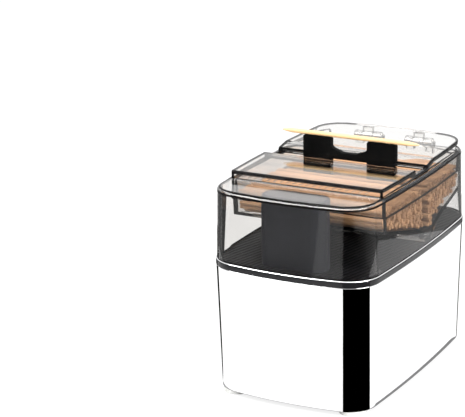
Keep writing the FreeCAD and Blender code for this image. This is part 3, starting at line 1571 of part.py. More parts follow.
def make_main_board():
    """The main circuit board, hung behind the lifter on the deck's tabs."""
    holes = [((x, z), s.screw_radius + s.seat_gap) for x, z in board_screw_places()]
    outline = rectangle(-s.board_left_x, s.board_low_z, s.board_right_x, s.board_top_z)
    board_back = s.board_y + s.board_thickness
    keep("main_board", slab("main_board", "XZ_Plane", s.board_y, board_back, outline, holes))
    middle_x = (s.board_right_x - s.board_left_x) / 2
    middle_z = (s.board_low_z + s.board_top_z) / 2
    half_chip = s.chip_size / 2
    keep("controller_chip", box("controller_chip", (middle_x - half_chip, board_back, middle_z - half_chip),
                                (middle_x + half_chip, board_back + s.chip_height, middle_z + half_chip)))
    cans = []
    for index, side in enumerate((-1, 1)):
        x = middle_x + s.chip_size * side
        z = s.board_low_z + s.chip_size
        can = rod(f"capacitor_{index}", "y", (x, board_back, z), s.capacitor_height, s.capacitor_radius)
        cans.append(can)
    keep("capacitors", group("capacitors", cans))
    left = -s.prong_outer + s.opto_width / 2
    low = s.fork_foot - s.crossbar_height
    keep("position_sensor", box("position_sensor", (left, s.board_y - s.opto_depth, low),
                                (left + s.opto_width, s.board_y, low + s.opto_height)))
    fasteners = []
    for index, (x, z) in enumerate(board_screw_places()):
        head = (x, s.board_y - s.screw_head_height, z)
        shank = s.board_thickness + s.board_tab_depth
        fasteners.append(screw(f"board_screw_{index}", "y", head, 1, shank))
    keep("board_screws", group("board_screws", fasteners))


def make_power_switch():
    """The slide switch on the underside: its housing inside, its knob in the plate's slot."""
    low = s.plate_top
    housing = box("switch_housing",
                  (-s.switch_x - s.switch_length / 2, s.switch_y - s.switch_width / 2, low),
                  (-s.switch_x + s.switch_length / 2, s.switch_y + s.switch_width / 2, low + s.switch_height))
    flange = box("switch_flange_plate",
                 (-s.switch_x - s.switch_flange / 2, s.switch_y - s.switch_width / 2, low),
                 (-s.switch_x + s.switch_flange / 2, s.switch_y + s.switch_width / 2,
                  low + s.switch_flange_thickness))
    half_slot = (s.knob_length + s.knob_travel) / 2 + s.moving_gap
    pocket = box("switch_pocket",
                 (-s.switch_x - half_slot, s.switch_y - s.knob_width / 2 - s.moving_gap, low - s.overrun),
                 (-s.switch_x + half_slot, s.switch_y + s.knob_width / 2 + s.moving_gap,
                  low + s.knob_root + s.moving_gap))
    keep("power_switch", without("power_switch", joined("switch_whole", [housing, flange]), [pocket]))
    knob_left = -s.switch_x - (s.knob_length + s.knob_travel) / 2
    keep("switch_knob", box("switch_knob",
                            (knob_left, s.switch_y - s.knob_width / 2, s.foot_height - s.knob_reach),
                            (knob_left + s.knob_length, s.switch_y + s.knob_width / 2, low + s.knob_root)))


def build():
    """Make every sub-part in turn."""
    make_feet()
    make_sleeve()
    make_bottom_plate()
    make_battery_door()
    make_band()
    make_deck()
    make_base_screws()
    make_sensor_tower()
    make_diode("infrared_emitter", -1)
    make_diode("infrared_receiver", 1)
    make_cover()
    make_hinge_pins()
    make_hopper()
    make_stock()
    make_presented_pick()
    make_lid()
    make_lifter()
    guide("left_guide", -1, s.guide_foot_z, s.deck_bottom)
    guide("right_guide", 1, s.guide_foot_z, s.right_guide_top)
    make_output_drive()
    compound_gear("second_gear", second_centre, output_centre, first_centre, 1)
    compound_gear("first_gear", first_centre, second_centre, motor_centre, 2)
    make_gear_pins()
    make_gearbox_plates()
    make_motor()
    make_battery_tray()
    make_cells()
    make_contacts()
    make_main_board()
    make_power_switch()


def check_and_write():
    """Recompute, refuse any failed object or shape, and write one file for each sub-part."""
    doc.recompute()
    for item in doc.Objects:
        if "Invalid" in item.State or "Error" in item.State:
            raise RuntimeError(f"{item.Label} failed: {item.State}")
    os.makedirs("parts", exist_ok=True)
    for piece in sub_parts:
        shape = piece.Shape
        if shape.isNull() or not shape.isValid() or not shape.Solids:
            raise RuntimeError(f"{piece.Label} has no sound shape")
        shape.exportStep(f"parts/{piece.Label}.step")
        print(piece.Label, len(shape.Solids), round(shape.Volume, 2))


build()
check_and_write()
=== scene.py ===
"""Photo-like scene of a sensor-driven toothpick dispenser.

Each sub-assembly is a class that builds its finer pieces in millimetres, dresses them and lets them ride on the
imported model's bodies. The row frame has X along the toothpick, Y towards the lid hinge and Z up.
"""

import json
import logging
import math
from dataclasses import dataclass, field
from enum import Enum
from typing import Callable, Iterable, Optional, Sequence, Union

import bmesh
import bpy
from mathutils import Matrix, Vector

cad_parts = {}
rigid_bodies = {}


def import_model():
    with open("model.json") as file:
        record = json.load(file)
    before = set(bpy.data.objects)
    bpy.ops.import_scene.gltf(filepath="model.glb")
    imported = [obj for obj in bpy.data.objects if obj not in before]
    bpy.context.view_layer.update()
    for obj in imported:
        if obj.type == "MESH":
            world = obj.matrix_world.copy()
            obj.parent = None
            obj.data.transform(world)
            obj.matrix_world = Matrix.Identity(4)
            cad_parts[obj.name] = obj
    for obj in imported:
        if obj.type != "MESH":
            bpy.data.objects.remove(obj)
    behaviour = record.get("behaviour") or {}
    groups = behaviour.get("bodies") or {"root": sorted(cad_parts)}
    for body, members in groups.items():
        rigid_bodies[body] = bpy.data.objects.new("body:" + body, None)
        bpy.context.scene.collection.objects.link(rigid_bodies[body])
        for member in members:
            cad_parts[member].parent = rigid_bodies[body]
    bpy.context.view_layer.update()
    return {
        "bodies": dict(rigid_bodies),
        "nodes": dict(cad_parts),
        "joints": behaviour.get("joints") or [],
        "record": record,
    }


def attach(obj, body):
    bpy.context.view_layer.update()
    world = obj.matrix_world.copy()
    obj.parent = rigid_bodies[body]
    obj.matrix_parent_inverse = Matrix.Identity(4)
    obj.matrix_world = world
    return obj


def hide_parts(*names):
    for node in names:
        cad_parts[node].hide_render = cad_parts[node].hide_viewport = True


LOG = logging.getLogger("toothpick_dispenser")

MM = 0.001
Point = tuple[float, float]
Triple = tuple[float, float, float]
Piece = bpy.types.Object
Face = bpy.types.MeshPolygon
Chooser = Callable[[Face], bool]

# Levels and lengths that several classes share, in millimetres
FOOT_TOP = 2.0
SLEEVE_TOP = 56.7
DECK_TOP = 59.4
BAND_TOP = 59.7
COVER_TOP = 90.6
HOPPER_TOP = 89.9
SKIRT_LOW = 81.3
FORK_Y = 7.2
HINGE_Y = 53.6
HINGE_Z = 88.5
HINGE_REACH = 3.1
HINGE_HALF = 20.0
KNUCKLE_RADIUS = 2.2
PICK_REST_Z = 101.55

# Past every wall, for the solids that cut, and half a width that is cut to the plan afterwards
PAST_X, PAST_Y, PAST_Z = 50.0, 70.0, 100.0
RAW_HALF = 40.0


# Outlines and profiles


@dataclass(frozen=True)
class CaseOutline:
    """Plan outline of four gentle bows joined by four round corners.

    Args:
        half_width: Half the width across X.
        half_depth: Half the depth along Y.
        end_bow: Radius of the front and back bows.
        side_bow: Radius of the left and right bows.
        corner: Radius of the corners.
    """

    half_width: float
    half_depth: float
    end_bow: float
    side_bow: float
    corner: float
    corner_steps: int = 22
    bow_steps: int = 12

    def _corner_centre(self) -> Point:
        """Where the corner circle touches both bows from the inside.

        Returns:
            The centre in the first quadrant.
        """
        end_y = self.half_depth - self.end_bow
        side_x = self.half_width - self.side_bow
        to_end = self.end_bow - self.corner
        to_side = self.side_bow - self.corner
        span = math.hypot(side_x, end_y)
        along = (to_end**2 - to_side**2 + span**2) / (2 * span)
        aside = math.sqrt(to_end**2 - along**2)
        run = (side_x / span, -end_y / span)
        options = [
            (run[0] * along - side * run[1] * aside, end_y + run[1] * along + side * run[0] * aside)
            for side in (1, -1)
        ]
        return next(option for option in options if option[0] > 0 and option[1] > 0)

    def ring(self, inset: float, z: float) -> list[Vector]:
        """Points round the outline, counterclockwise from above.

        Args:
            inset: How far the outline is drawn in.
            z: Height of the ring.

        Returns:
            The ring's points.
        """
        centre_x, centre_y = self._corner_centre()
        side_x = self.half_width - self.side_bow
        end_y = self.half_depth - self.end_bow
        low = math.atan2(centre_y, centre_x - side_x)
        high = math.atan2(centre_y - end_y, centre_x)
        turn = math.pi
        arcs = [
            ((centre_x, centre_y), self.corner, low, high, self.corner_steps),
            ((0.0, end_y), self.end_bow, high, turn - high, self.bow_steps),
            ((-centre_x, centre_y), self.corner, turn - high, turn - low, self.corner_steps),
            ((-side_x, 0.0), self.side_bow, turn - low, turn + low, self.bow_steps),
            ((-centre_x, -centre_y), self.corner, turn + low, turn + high, self.corner_steps),
            ((0.0, -end_y), self.end_bow, turn + high, 2 * turn - high, self.bow_steps),
            ((centre_x, -centre_y), self.corner, 2 * turn - high, 2 * turn - low, self.corner_steps),
            ((side_x, 0.0), self.side_bow, -low, low, self.bow_steps),
        ]
        points = []
        for centre, radius, start, end, steps in arcs:
            for step in range(steps):
                angle = start + (end - start) * step / steps
                reach = radius - inset
                x, y = centre[0] + reach * math.cos(angle), centre[1] + reach * math.sin(angle)
                points.append(Vector((x, y, z)))
        return points


@dataclass(frozen=True)
class RoundedBox:
    """Plan outline of a rectangle with round corners.

    Args:
        half_width: Half the width across X.
        half_depth: Half the depth along Y.
        corner: Radius of the corners.
        centre_y: Where its middle stands along Y.
    """

    half_width: float
    half_depth: float
    corner: float
    centre_y: float
    corner_steps: int = 14

    def ring(self, inset: float, z: float) -> list[Vector]:
        """Points round the outline, counterclockwise from above.

        Args:
            inset: How far the outline is drawn in.
            z: Height of the ring.

        Returns:
            The ring's points.
        """
        across = self.half_width - self.corner
        along = self.half_depth - self.corner
        points = []
        for index, (sign_x, sign_y) in enumerate([(1, 1), (-1, 1), (-1, -1), (1, -1)]):
            for step in range(self.corner_steps + 1):
                angle = math.pi / 2 * (index + step / self.corner_steps)
                reach = self.corner - inset
                x = across * sign_x + reach * math.cos(angle)
                y = self.centre_y + along * sign_y + reach * math.sin(angle)
                points.append(Vector((x, y, z)))
        return points


CASE = CaseOutline(38.5, 58.6, 165.0, 686.0, 14.2)
LID_PLAN = CaseOutline(35.8, 57.7, 165.0, 686.0, 12.5)
TOWER_PLAN = RoundedBox(14.8, 6.15, 5.6, -44.85)

Plan = Union[CaseOutline, RoundedBox]


def filleted(corners: Sequence[Point], radii: Sequence[float], steps: int = 5) -> list[Point]:
    """Round the corners of a closed outline.

    Args:
        corners: The outline's corners in order.
        radii: One radius for each corner, zero to keep it sharp.
        steps: Segments in each arc.

    Returns:
        The rounded outline.
    """
    rounded: list[Point] = []
    count = len(corners)
    for index, radius in enumerate(radii):
        here = Vector(corners[index])
        if radius <= 0:
            rounded.append(tuple(here))
            continue
        before = (Vector(corners[index - 1]) - here).normalized()
        after = (Vector(corners[(index + 1) % count]) - here).normalized()
        half = before.angle(after) / 2
        centre = here + (before + after).normalized() * (radius / math.sin(half))
        start = here + before * (radius / math.tan(half)) - centre
        end = here + after * (radius / math.tan(half)) - centre
        sweep = start.angle_signed(end)
        for step in range(steps + 1):
            angle = -sweep * step / steps
            cos, sin = math.cos(angle), math.sin(angle)
            rounded.append((centre.x + start.x * cos - start.y * sin, centre.y + start.x * sin + start.y * cos))
    return rounded


# Keeps the mitre of a very sharp corner from running far out
LEAST_MITRE = 0.2


def inward(corners: Sequence[Point], distance: float) -> list[Point]:
    """Draw a closed outline in by a distance, keeping its corners sharp.

    Args:
        corners: Corners in counterclockwise order.
        distance: How far each side moves inwards.

    Returns:
        The corners of the smaller outline.
    """
    result: list[Point] = []
    count = len(corners)
    for index in range(count):
        before, here, after = (Vector(corners[(index + shift) % count]) for shift in (-1, 0, 1))
        first = (here - before).normalized()
        second = (after - here).normalized()
        normal_a = Vector((-first.y, first.x))
        normal_b = Vector((-second.y, second.x))
        mitre = (normal_a + normal_b).normalized()
        moved = here + mitre * (distance / max(mitre.dot(normal_a), LEAST_MITRE))
        result.append((moved.x, moved.y))
    return result


# Mesh building, in millimetres


def new_object(name: str, vertices: Iterable[Vector], faces: Iterable[Sequence[int]]) -> Piece:
    """Make a mesh object and put it in the scene.

    Args:
        name: Name of the object.
        vertices: Its points.
        faces: Its faces as point numbers.

    Returns:
        The new object.
    """
    mesh = bpy.data.meshes.new(name)
    mesh.from_pydata([tuple(vertex) for vertex in vertices], [], [tuple(face) for face in faces])
    mesh.validate()
    made = bpy.data.objects.new(name, mesh)
    bpy.context.scene.collection.objects.link(made)
    return made


def loft(name: str, rings: Sequence[Sequence[Vector]]) -> Piece:
    """A closed solid through rings that go up.

    Args:
        name: Name of the object.
        rings: Rings with the same number of points, from low to high.

    Returns:
        The new object.
    """
    count = len(rings[0])
    vertices = [point for ring in rings for point in ring]
    faces = [list(reversed(range(count)))]
    for level in range(len(rings) - 1):
        low, high = level * count, (level + 1) * count
        faces += [(low + j, low + (j + 1) % count, high + (j + 1) % count, high + j) for j in range(count)]
    faces.append(list(range((len(rings) - 1) * count, len(rings) * count)))
    return new_object(name, vertices, faces)


def prism(name: str, plan: Plan, inset: float, low: float, high: float) -> Piece:
    """A straight solid over a plan outline."""
    return loft(name, [plan.ring(inset, low), plan.ring(inset, high)])


def sweep(name: str, plan: Plan, profile: Sequence[Point]) -> Piece:
    """A closed ring of one profile that runs round a plan outline.

    Args:
        name: Name of the object.
        plan: The outline to follow.
        profile: (inset, height) points, up on the outside and down on the inside.

    Returns:
        The new object.
    """
    rings = [plan.ring(inset, z) for inset, z in profile]
    count = len(rings[0])
    vertices = [point for ring in rings for point in ring]
    faces = []
    for level in range(len(rings)):
        low, high = level * count, (level + 1) % len(rings) * count
        faces += [(low + j, low + (j + 1) % count, high + (j + 1) % count, high + j) for j in range(count)]
    return new_object(name, vertices, faces)


def side_solid(name: str, outline: Sequence[Point], half_width: float) -> Piece:
    """A solid with a (y, z) side outline, centred on X.

    Args:
        name: Name of the object.
        outline: Corners in counterclockwise order, seen from positive X.
        half_width: Half its width across X.

    Returns:
        The new object.
    """
    left = [Vector((-half_width, y, z)) for y, z in outline]
    right = [Vector((half_width, y, z)) for y, z in outline]
    count = len(outline)
    faces = [list(reversed(range(count))), list(range(count, 2 * count))]
    faces += [(j, (j + 1) % count, count + (j + 1) % count, count + j) for j in range(count)]
    return new_object(name, left + right, faces)


def block(name: str, low: Sequence[float], high: Sequence[float]) -> Piece:
    """A box between two corners.

    Args:
        name: Name of the object.
        low: Lowest corner.
        high: Highest corner.

    Returns:
        The new object.
    """
    points = [Vector((x, y, z)) for z in (low[2], high[2]) for y in (low[1], high[1]) for x in (low[0], high[0])]
    faces = [(0, 2, 3, 1), (4, 5, 7, 6), (0, 1, 5, 4), (2, 6, 7, 3), (0, 4, 6, 2), (1, 3, 7, 5)]
    return new_object(name, points, faces)


def turned(
    name: str,
    profile: Sequence[Point],
    origin: Sequence[float],
    axis: str = "z",
    segments: int = 48,
) -> Piece:
    """A solid of revolution.

    Args:
        name: Name of the object.
        profile: (radius, place along the axis) points, whose first and last radius are zero.
        origin: Where the axis starts.
        axis: "x" or "z".
        segments: Steps round the axis.

    Returns:
        The new object.
    """
    vertices: list[Vector] = []
    faces: list[list[int]] = []
    base = Vector(origin)
    inner = profile[1:-1]

    def place(radius: float, along: float, angle: float) -> Vector:
        """A point at a radius, a place along the axis and an angle."""
        across = (radius * math.cos(angle), radius * math.sin(angle))
        return base + Vector((*across, along) if axis == "z" else (along, *across))

    for radius, along in inner:
        vertices += [place(radius, along, 2 * math.pi * step / segments) for step in range(segments)]
    for level in range(len(inner) - 1):
        low, high = level * segments, (level + 1) * segments
        faces += [
            [low + j, low + (j + 1) % segments, high + (j + 1) % segments, high + j] for j in range(segments)
        ]
    first, last = len(vertices), len(vertices) + 1
    vertices += [place(0.0, profile[0][1], 0.0), place(0.0, profile[-1][1], 0.0)]
    top = (len(inner) - 1) * segments
    faces += [[first, (j + 1) % segments, j] for j in range(segments)]
    faces += [[last, top + j, top + (j + 1) % segments] for j in range(segments)]
    return new_object(name, vertices, faces)


def knuckle(name: str, arc: Point, web: Sequence[Point], left: float, right: float) -> Piece:
    """One hinge knuckle: a round eye on the hinge axis with a web that runs into its wall.

    Args:
        name: Name of the object.
        arc: First and last direction of the eye's free rim, in degrees.
        web: (y, z) corners of the web, after the last direction.
        left: Where it starts along X.
        right: Where it ends along X.

    Returns:
        The solid.
    """
    steps, reach = 26, KNUCKLE_RADIUS
    angles = (math.radians(arc[0] + (arc[1] - arc[0]) * step / steps) for step in range(steps + 1))
    rim = [(HINGE_Y + reach * math.cos(angle), HINGE_Z + reach * math.sin(angle)) for angle in angles]
    eye = side_solid(name, [*rim, *web], (right - left) / 2)
    eye.data.transform(Matrix.Translation(((left + right) / 2, 0.0, 0.0)))
    return eye


def pin_hole(name: str, radius: float, half: float) -> Piece:
    """The hole for the hinge pins, centred on X with a radius and half a length."""
    profile = [(0.0, 0.0), (radius, 0.0), (radius, 2 * half), (0.0, 2 * half)]
    return turned(name, profile, (-half, HINGE_Y, HINGE_Z), "x", 24)


def joined_pieces(name: str, parts: Sequence[Piece]) -> Piece:
    """Put the meshes of several objects into one.

    Args:
        name: Name of the result.
        parts: The objects, which are used up.

    Returns:
        The new object.
    """
    work = bmesh.new()
    for part in parts:
        work.from_mesh(part.data)
        bpy.data.objects.remove(part)
    mesh = bpy.data.meshes.new(name)
    work.to_mesh(mesh)
    work.free()
    made = bpy.data.objects.new(name, mesh)
    bpy.context.scene.collection.objects.link(made)
    return made


def baked(piece: Piece) -> Piece:
    """Turn a piece with modifiers into a plain mesh.

    Args:
        piece: The piece.

    Returns:
        The same piece, without modifiers.
    """
    bpy.context.view_layer.update()
    graph = bpy.context.evaluated_depsgraph_get()
    mesh = bpy.data.meshes.new_from_object(piece.evaluated_get(graph))
    mesh.name = piece.name
    piece.modifiers.clear()
    old = piece.data
    piece.data = mesh
    if old.users == 0:
        bpy.data.meshes.remove(old)
    return piece


class Join(Enum):
    """How one solid works on another."""

    ADD = "UNION"
    CUT = "DIFFERENCE"
    KEEP = "INTERSECT"


def combine(base: Piece, how: Join, *tools: Piece) -> Piece:
    """Work on a solid with others, which are used up.

    Args:
        base: The solid that stays.
        how: Whether the others are added, cut away or kept in common.
        tools: The others.

    Returns:
        The changed solid.
    """
    for tool in tools:
        modifier = base.modifiers.new("joining", "BOOLEAN")
        modifier.operation = how.value
        modifier.solver = "EXACT"
        modifier.object = tool
        baked(base)
        bpy.data.objects.remove(tool)
    return base


# Points nearer than this become one, and so do faces that differ by less than this
WELD = 0.002
FLAT_DEGREES = 0.6


def cleaned(piece: Piece, halved: bool = False) -> Piece:
    """Weld doubled points and merge faces that lie in one plane.

    Args:
        piece: The piece, in millimetres.
        halved: Whether faces are kept apart at the middle plane and the hinge axis, so that none is a ring.

    Returns:
        The same piece.
    """
    work = bmesh.new()
    work.from_mesh(piece.data)
    bmesh.ops.remove_doubles(work, verts=work.verts, dist=WELD)
    bmesh.ops.dissolve_degenerate(work, edges=work.edges, dist=WELD)
    for place, normal in (((0.0, 0.0, 0.0), (1.0, 0.0, 0.0)), ((0.0, HINGE_Y, 0.0), (0.0, 1.0, 0.0))):
        if halved:
            everything = [*work.verts, *work.edges, *work.faces]
            cut = bmesh.ops.bisect_plane(work, geom=everything, dist=WELD, plane_co=place, plane_no=normal)
            for element in cut["geom_cut"]:
                if isinstance(element, bmesh.types.BMEdge):
                    element.seam = True
    bmesh.ops.dissolve_limit(
        work,
        angle_limit=math.radians(FLAT_DEGREES),
        verts=work.verts,
        edges=work.edges,
        delimit={"MATERIAL", "SEAM"},
    )
    for edge in work.edges:
        edge.seam = False
    bmesh.ops.recalc_face_normals(work, faces=work.faces)
    work.to_mesh(piece.data)
    work.free()
    return piece


# Widest strip, in widths of the rounding, that still counts as a rounded edge
STRIP_WIDTH = 1.2


def softened(
    piece: Piece, width: float, degrees: float = 40.0, edge_slot: int = -1, clamped: bool = False
) -> Piece:
    """Round the sharp edges of a piece.

    Args:
        piece: The piece, in millimetres.
        width: Width of the rounding.
        degrees: Edges sharper than this are rounded.
        edge_slot: Material slot of the new faces, or -1 for that of their neighbours.
        clamped: Whether the rounding narrows where short edges leave it no room.

    Returns:
        The same piece.
    """
    modifier = piece.modifiers.new("rounding", "BEVEL")
    modifier.width = width
    modifier.segments = 2
    modifier.limit_method = "ANGLE"
    modifier.angle_limit = math.radians(degrees)
    modifier.use_clamp_overlap = clamped
    modifier.miter_outer = "MITER_ARC"
    modifier.material = edge_slot
    mesh = piece.data
    extent = [[vertex.co[axis] for vertex in mesh.vertices] for axis in range(3)]
    limits = [(min(values), max(values)) for values in extent]
    baked(piece)
    mesh = piece.data
    for vertex in mesh.vertices:
        vertex.co = [min(max(value, low), high) for value, (low, high) in zip(vertex.co, limits)]
    if edge_slot > 0:
        for face in mesh.polygons:
            corners = [mesh.vertices[number].co for number in face.vertices]
            longest = max((corners[index] - corners[index - 1]).length for index in range(len(corners)))
            if face.area > longest * width * STRIP_WIDTH:
                face.material_index = 0
    return piece


def smoothed(piece: Piece, degrees: float = 35.0) -> Piece:
    """Shade a piece smoothly but for its sharp edges.

    Args:
        piece: The piece.
        degrees: Edges sharper than this stay sharp.

    Returns:
        The same piece.
    """
    piece.data.shade_smooth()
    piece.data.set_sharp_from_angle(angle=math.radians(degrees))
    return piece


def flattened(piece: Piece) -> Piece:
    """Let the large faces of a smoothly shaded piece keep their own direction, and its roundings take up the turn.

    Args:
        piece: The piece.

    Returns:
        The same piece.
    """
    modifier = piece.modifiers.new("facing", "WEIGHTED_NORMAL")
    modifier.mode = "FACE_AREA"
    modifier.weight = 100
    modifier.keep_sharp = True
    return baked(piece)


def copy_of(node: Piece, name: str) -> Piece:
    """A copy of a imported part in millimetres, ready to be refined.

    Args:
        node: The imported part.
        name: Name of the copy.

    Returns:
        The copy.
    """
    mesh = node.data.copy()
    mesh.name = name
    mesh.materials.clear()
    mesh.transform(Matrix.Scale(1 / MM, 4))
    copied = bpy.data.objects.new(name, mesh)
    bpy.context.scene.collection.objects.link(copied)
    return cleaned(copied)


# Materials


class Signal:
    """A number, vector or colour on its way through a node tree."""

    def __init__(self, graph: "NodeGraph", socket: bpy.types.NodeSocket) -> None:
        """Wrap an output socket."""
        self.graph = graph
        self.socket = socket

    def __add__(self, other: "Feed") -> "Signal":
        """This plus another."""
        return self.graph.math("ADD", self, other)

    def __radd__(self, other: "Feed") -> "Signal":
        """Another plus this."""
        return self.graph.math("ADD", other, self)

    def __sub__(self, other: "Feed") -> "Signal":
        """This less another."""
        return self.graph.math("SUBTRACT", self, other)

    def __rsub__(self, other: "Feed") -> "Signal":
        """Another less this."""
        return self.graph.math("SUBTRACT", other, self)

    def __mul__(self, other: "Feed") -> "Signal":
        """This times another."""
        return self.graph.math("MULTIPLY", self, other)

    def __truediv__(self, other: "Feed") -> "Signal":
        """This over another."""
        return self.graph.math("DIVIDE", self, other)

    def __mod__(self, other: "Feed") -> "Signal":
        """What is left of this over another."""
        return self.graph.math("MODULO", self, other)

    def __abs__(self) -> "Signal":
        """Size of this without its sign."""
        return self.graph.math("ABSOLUTE", self)

    def __lt__(self, other: "Feed") -> "Signal":
        """One where this is less than another."""
        return self.graph.math("LESS_THAN", self, other)


Feed = Union[Signal, float, Sequence[float], str, bpy.types.ID]


class NodeGraph:
    """Builds the nodes of one tree, for shaders as for geometry."""

    def __init__(self, tree: bpy.types.NodeTree) -> None:
        """Start with a tree."""
        self.tree = tree

    def node(
        self,
        kind: str,
        settings: Optional[dict[str, object]] = None,
        inputs: Optional[dict[Union[str, int], Feed]] = None,
        output: Union[str, int] = 0,
    ) -> Signal:
        """Make a node: its type, then its settings, then its values and links.

        Args:
            kind: Name of the node type.
            settings: Properties of the node.
            inputs: Values or signals for its input sockets, by name or number.
            output: The output socket to pass on.

        Returns:
            That output as a signal.
        """
        made = self.tree.nodes.new(kind)
        for key, value in (settings or {}).items():
            setattr(made, key, value)
        for key, value in (inputs or {}).items():
            self.feed(made.inputs[key], value)
        return Signal(self, made.outputs[output])

    def feed(self, socket: bpy.types.NodeSocket, value: Feed) -> None:
        """Link a signal to a socket, or set a plain value.

        Args:
            socket: The input socket.
            value: What goes in.
        """
        if isinstance(value, Signal):
            self.tree.links.new(value.socket, socket)
        elif isinstance(value, (tuple, list)) and socket.type == "RGBA" and len(value) == 3:
            socket.default_value = (*value, 1.0)
        else:
            socket.default_value = value

    def math(self, operation: str, first: Feed, second: Feed = 0.0) -> Signal:
        """One operation on two numbers."""
        return self.node("ShaderNodeMath", {"operation": operation}, {0: first, 1: second})

    def scaled(self, first: Feed, second: Feed) -> Signal:
        """One vector times another."""
        return self.node("ShaderNodeVectorMath", {"operation": "MULTIPLY"}, {0: first, 1: second})

    def mixed(self, first: Feed, second: Feed, factor: Feed) -> Signal:
        """A colour between two others."""
        settings = {"data_type": "RGBA", "blend_type": "MIX", "clamp_factor": True}
        return self.node("ShaderNodeMix", settings, {0: factor, 6: first, 7: second}, 2)

    def ranged(self, value: Feed, low: float, high: float, to_low: float = 0.0, to_high: float = 1.0) -> Signal:
        """Map one range of numbers to another, clamped."""
        inputs = {0: value, 1: low, 2: high, 3: to_low, 4: to_high}
        return self.node("ShaderNodeMapRange", {"clamp": True}, inputs)


class MaterialGraph(NodeGraph):
    """The nodes of one material."""

    def __init__(self, name: str) -> None:
        """Start a material with an empty tree.

        Args:
            name: Name of the material.
        """
        self.material = bpy.data.materials.new(name)
        self.material.use_nodes = True
        self.material.node_tree.nodes.clear()
        super().__init__(self.material.node_tree)

    def place(self, stretch: Sequence[float] = (1.0, 1.0, 1.0)) -> Signal:
        """Object coordinates in millimetres."""
        coordinates = self.node("ShaderNodeTexCoord", output="Object")
        return self.scaled(coordinates, tuple(factor / MM for factor in stretch))

    def noise(self, where: Signal, scale: float, detail: float = 3.0, roughness: float = 0.55) -> Signal:
        """Soft noise between 0 and 1."""
        inputs = {"Vector": where, "Scale": scale, "Detail": detail, "Roughness": roughness}
        return self.node("ShaderNodeTexNoise", {"noise_dimensions": "3D"}, inputs, "Fac")

    def bumped(self, height: Signal, strength: float, distance: float) -> Signal:
        """Surface normals from a height."""
        inputs = {"Height": height, "Strength": strength, "Distance": distance * MM}
        return self.node("ShaderNodeBump", {}, inputs)

    def surface(self, **sockets: Feed) -> Signal:
        """A Principled surface."""
        named = {key.replace("_", " "): value for key, value in sockets.items()}
        return self.node("ShaderNodeBsdfPrincipled", {}, named)

    def finish(self, surface: Signal, volume: Optional[Signal] = None) -> bpy.types.Material:
        """Lead the surface, and the volume if there is one, to the output.

        Args:
            surface: The surface.
            volume: The volume.

        Returns:
            The material.
        """
        inputs: dict[Union[str, int], Feed] = {"Surface": surface}
        if volume is not None:
            inputs["Volume"] = volume
        made = self.tree.nodes.new("ShaderNodeOutputMaterial")
        for key, value in inputs.items():
            self.feed(made.inputs[key], value)
        return self.material


class Look(Enum):
    """Kinds of surface."""

    MOULDED = "moulded plastic"
    GLOSS = "glossy plastic"
    MIRROR = "polished metal"
    GROUND = "ground metal"
    RUBBER = "rubber"
    CLEAR = "clear plastic"
    CLEAR_EDGE = "edge of clear plastic"
    WOOD = "birch wood"
    BOARD = "circuit board"


@dataclass(frozen=True)
class Finish:
    """How one material slot looks.

    Args:
        slot: Name of the material slot.
        look: Kind of surface.
        colour: Main colour.
        other: Second colour, where the surface varies.
        roughness: Mean roughness.
        grain: Size of the fine pattern, larger is finer.
        bump: Height of the fine pattern in millimetres.
        coat: Weight of the clear coat.
        specular: Level of the plain reflection.
    """

    slot: str
    look: Look
    colour: Triple
    other: Triple
    roughness: float = 0.4
    grain: float = 1.5
    bump: float = 0.02
    coat: float = 0.0
    specular: float = 0.5


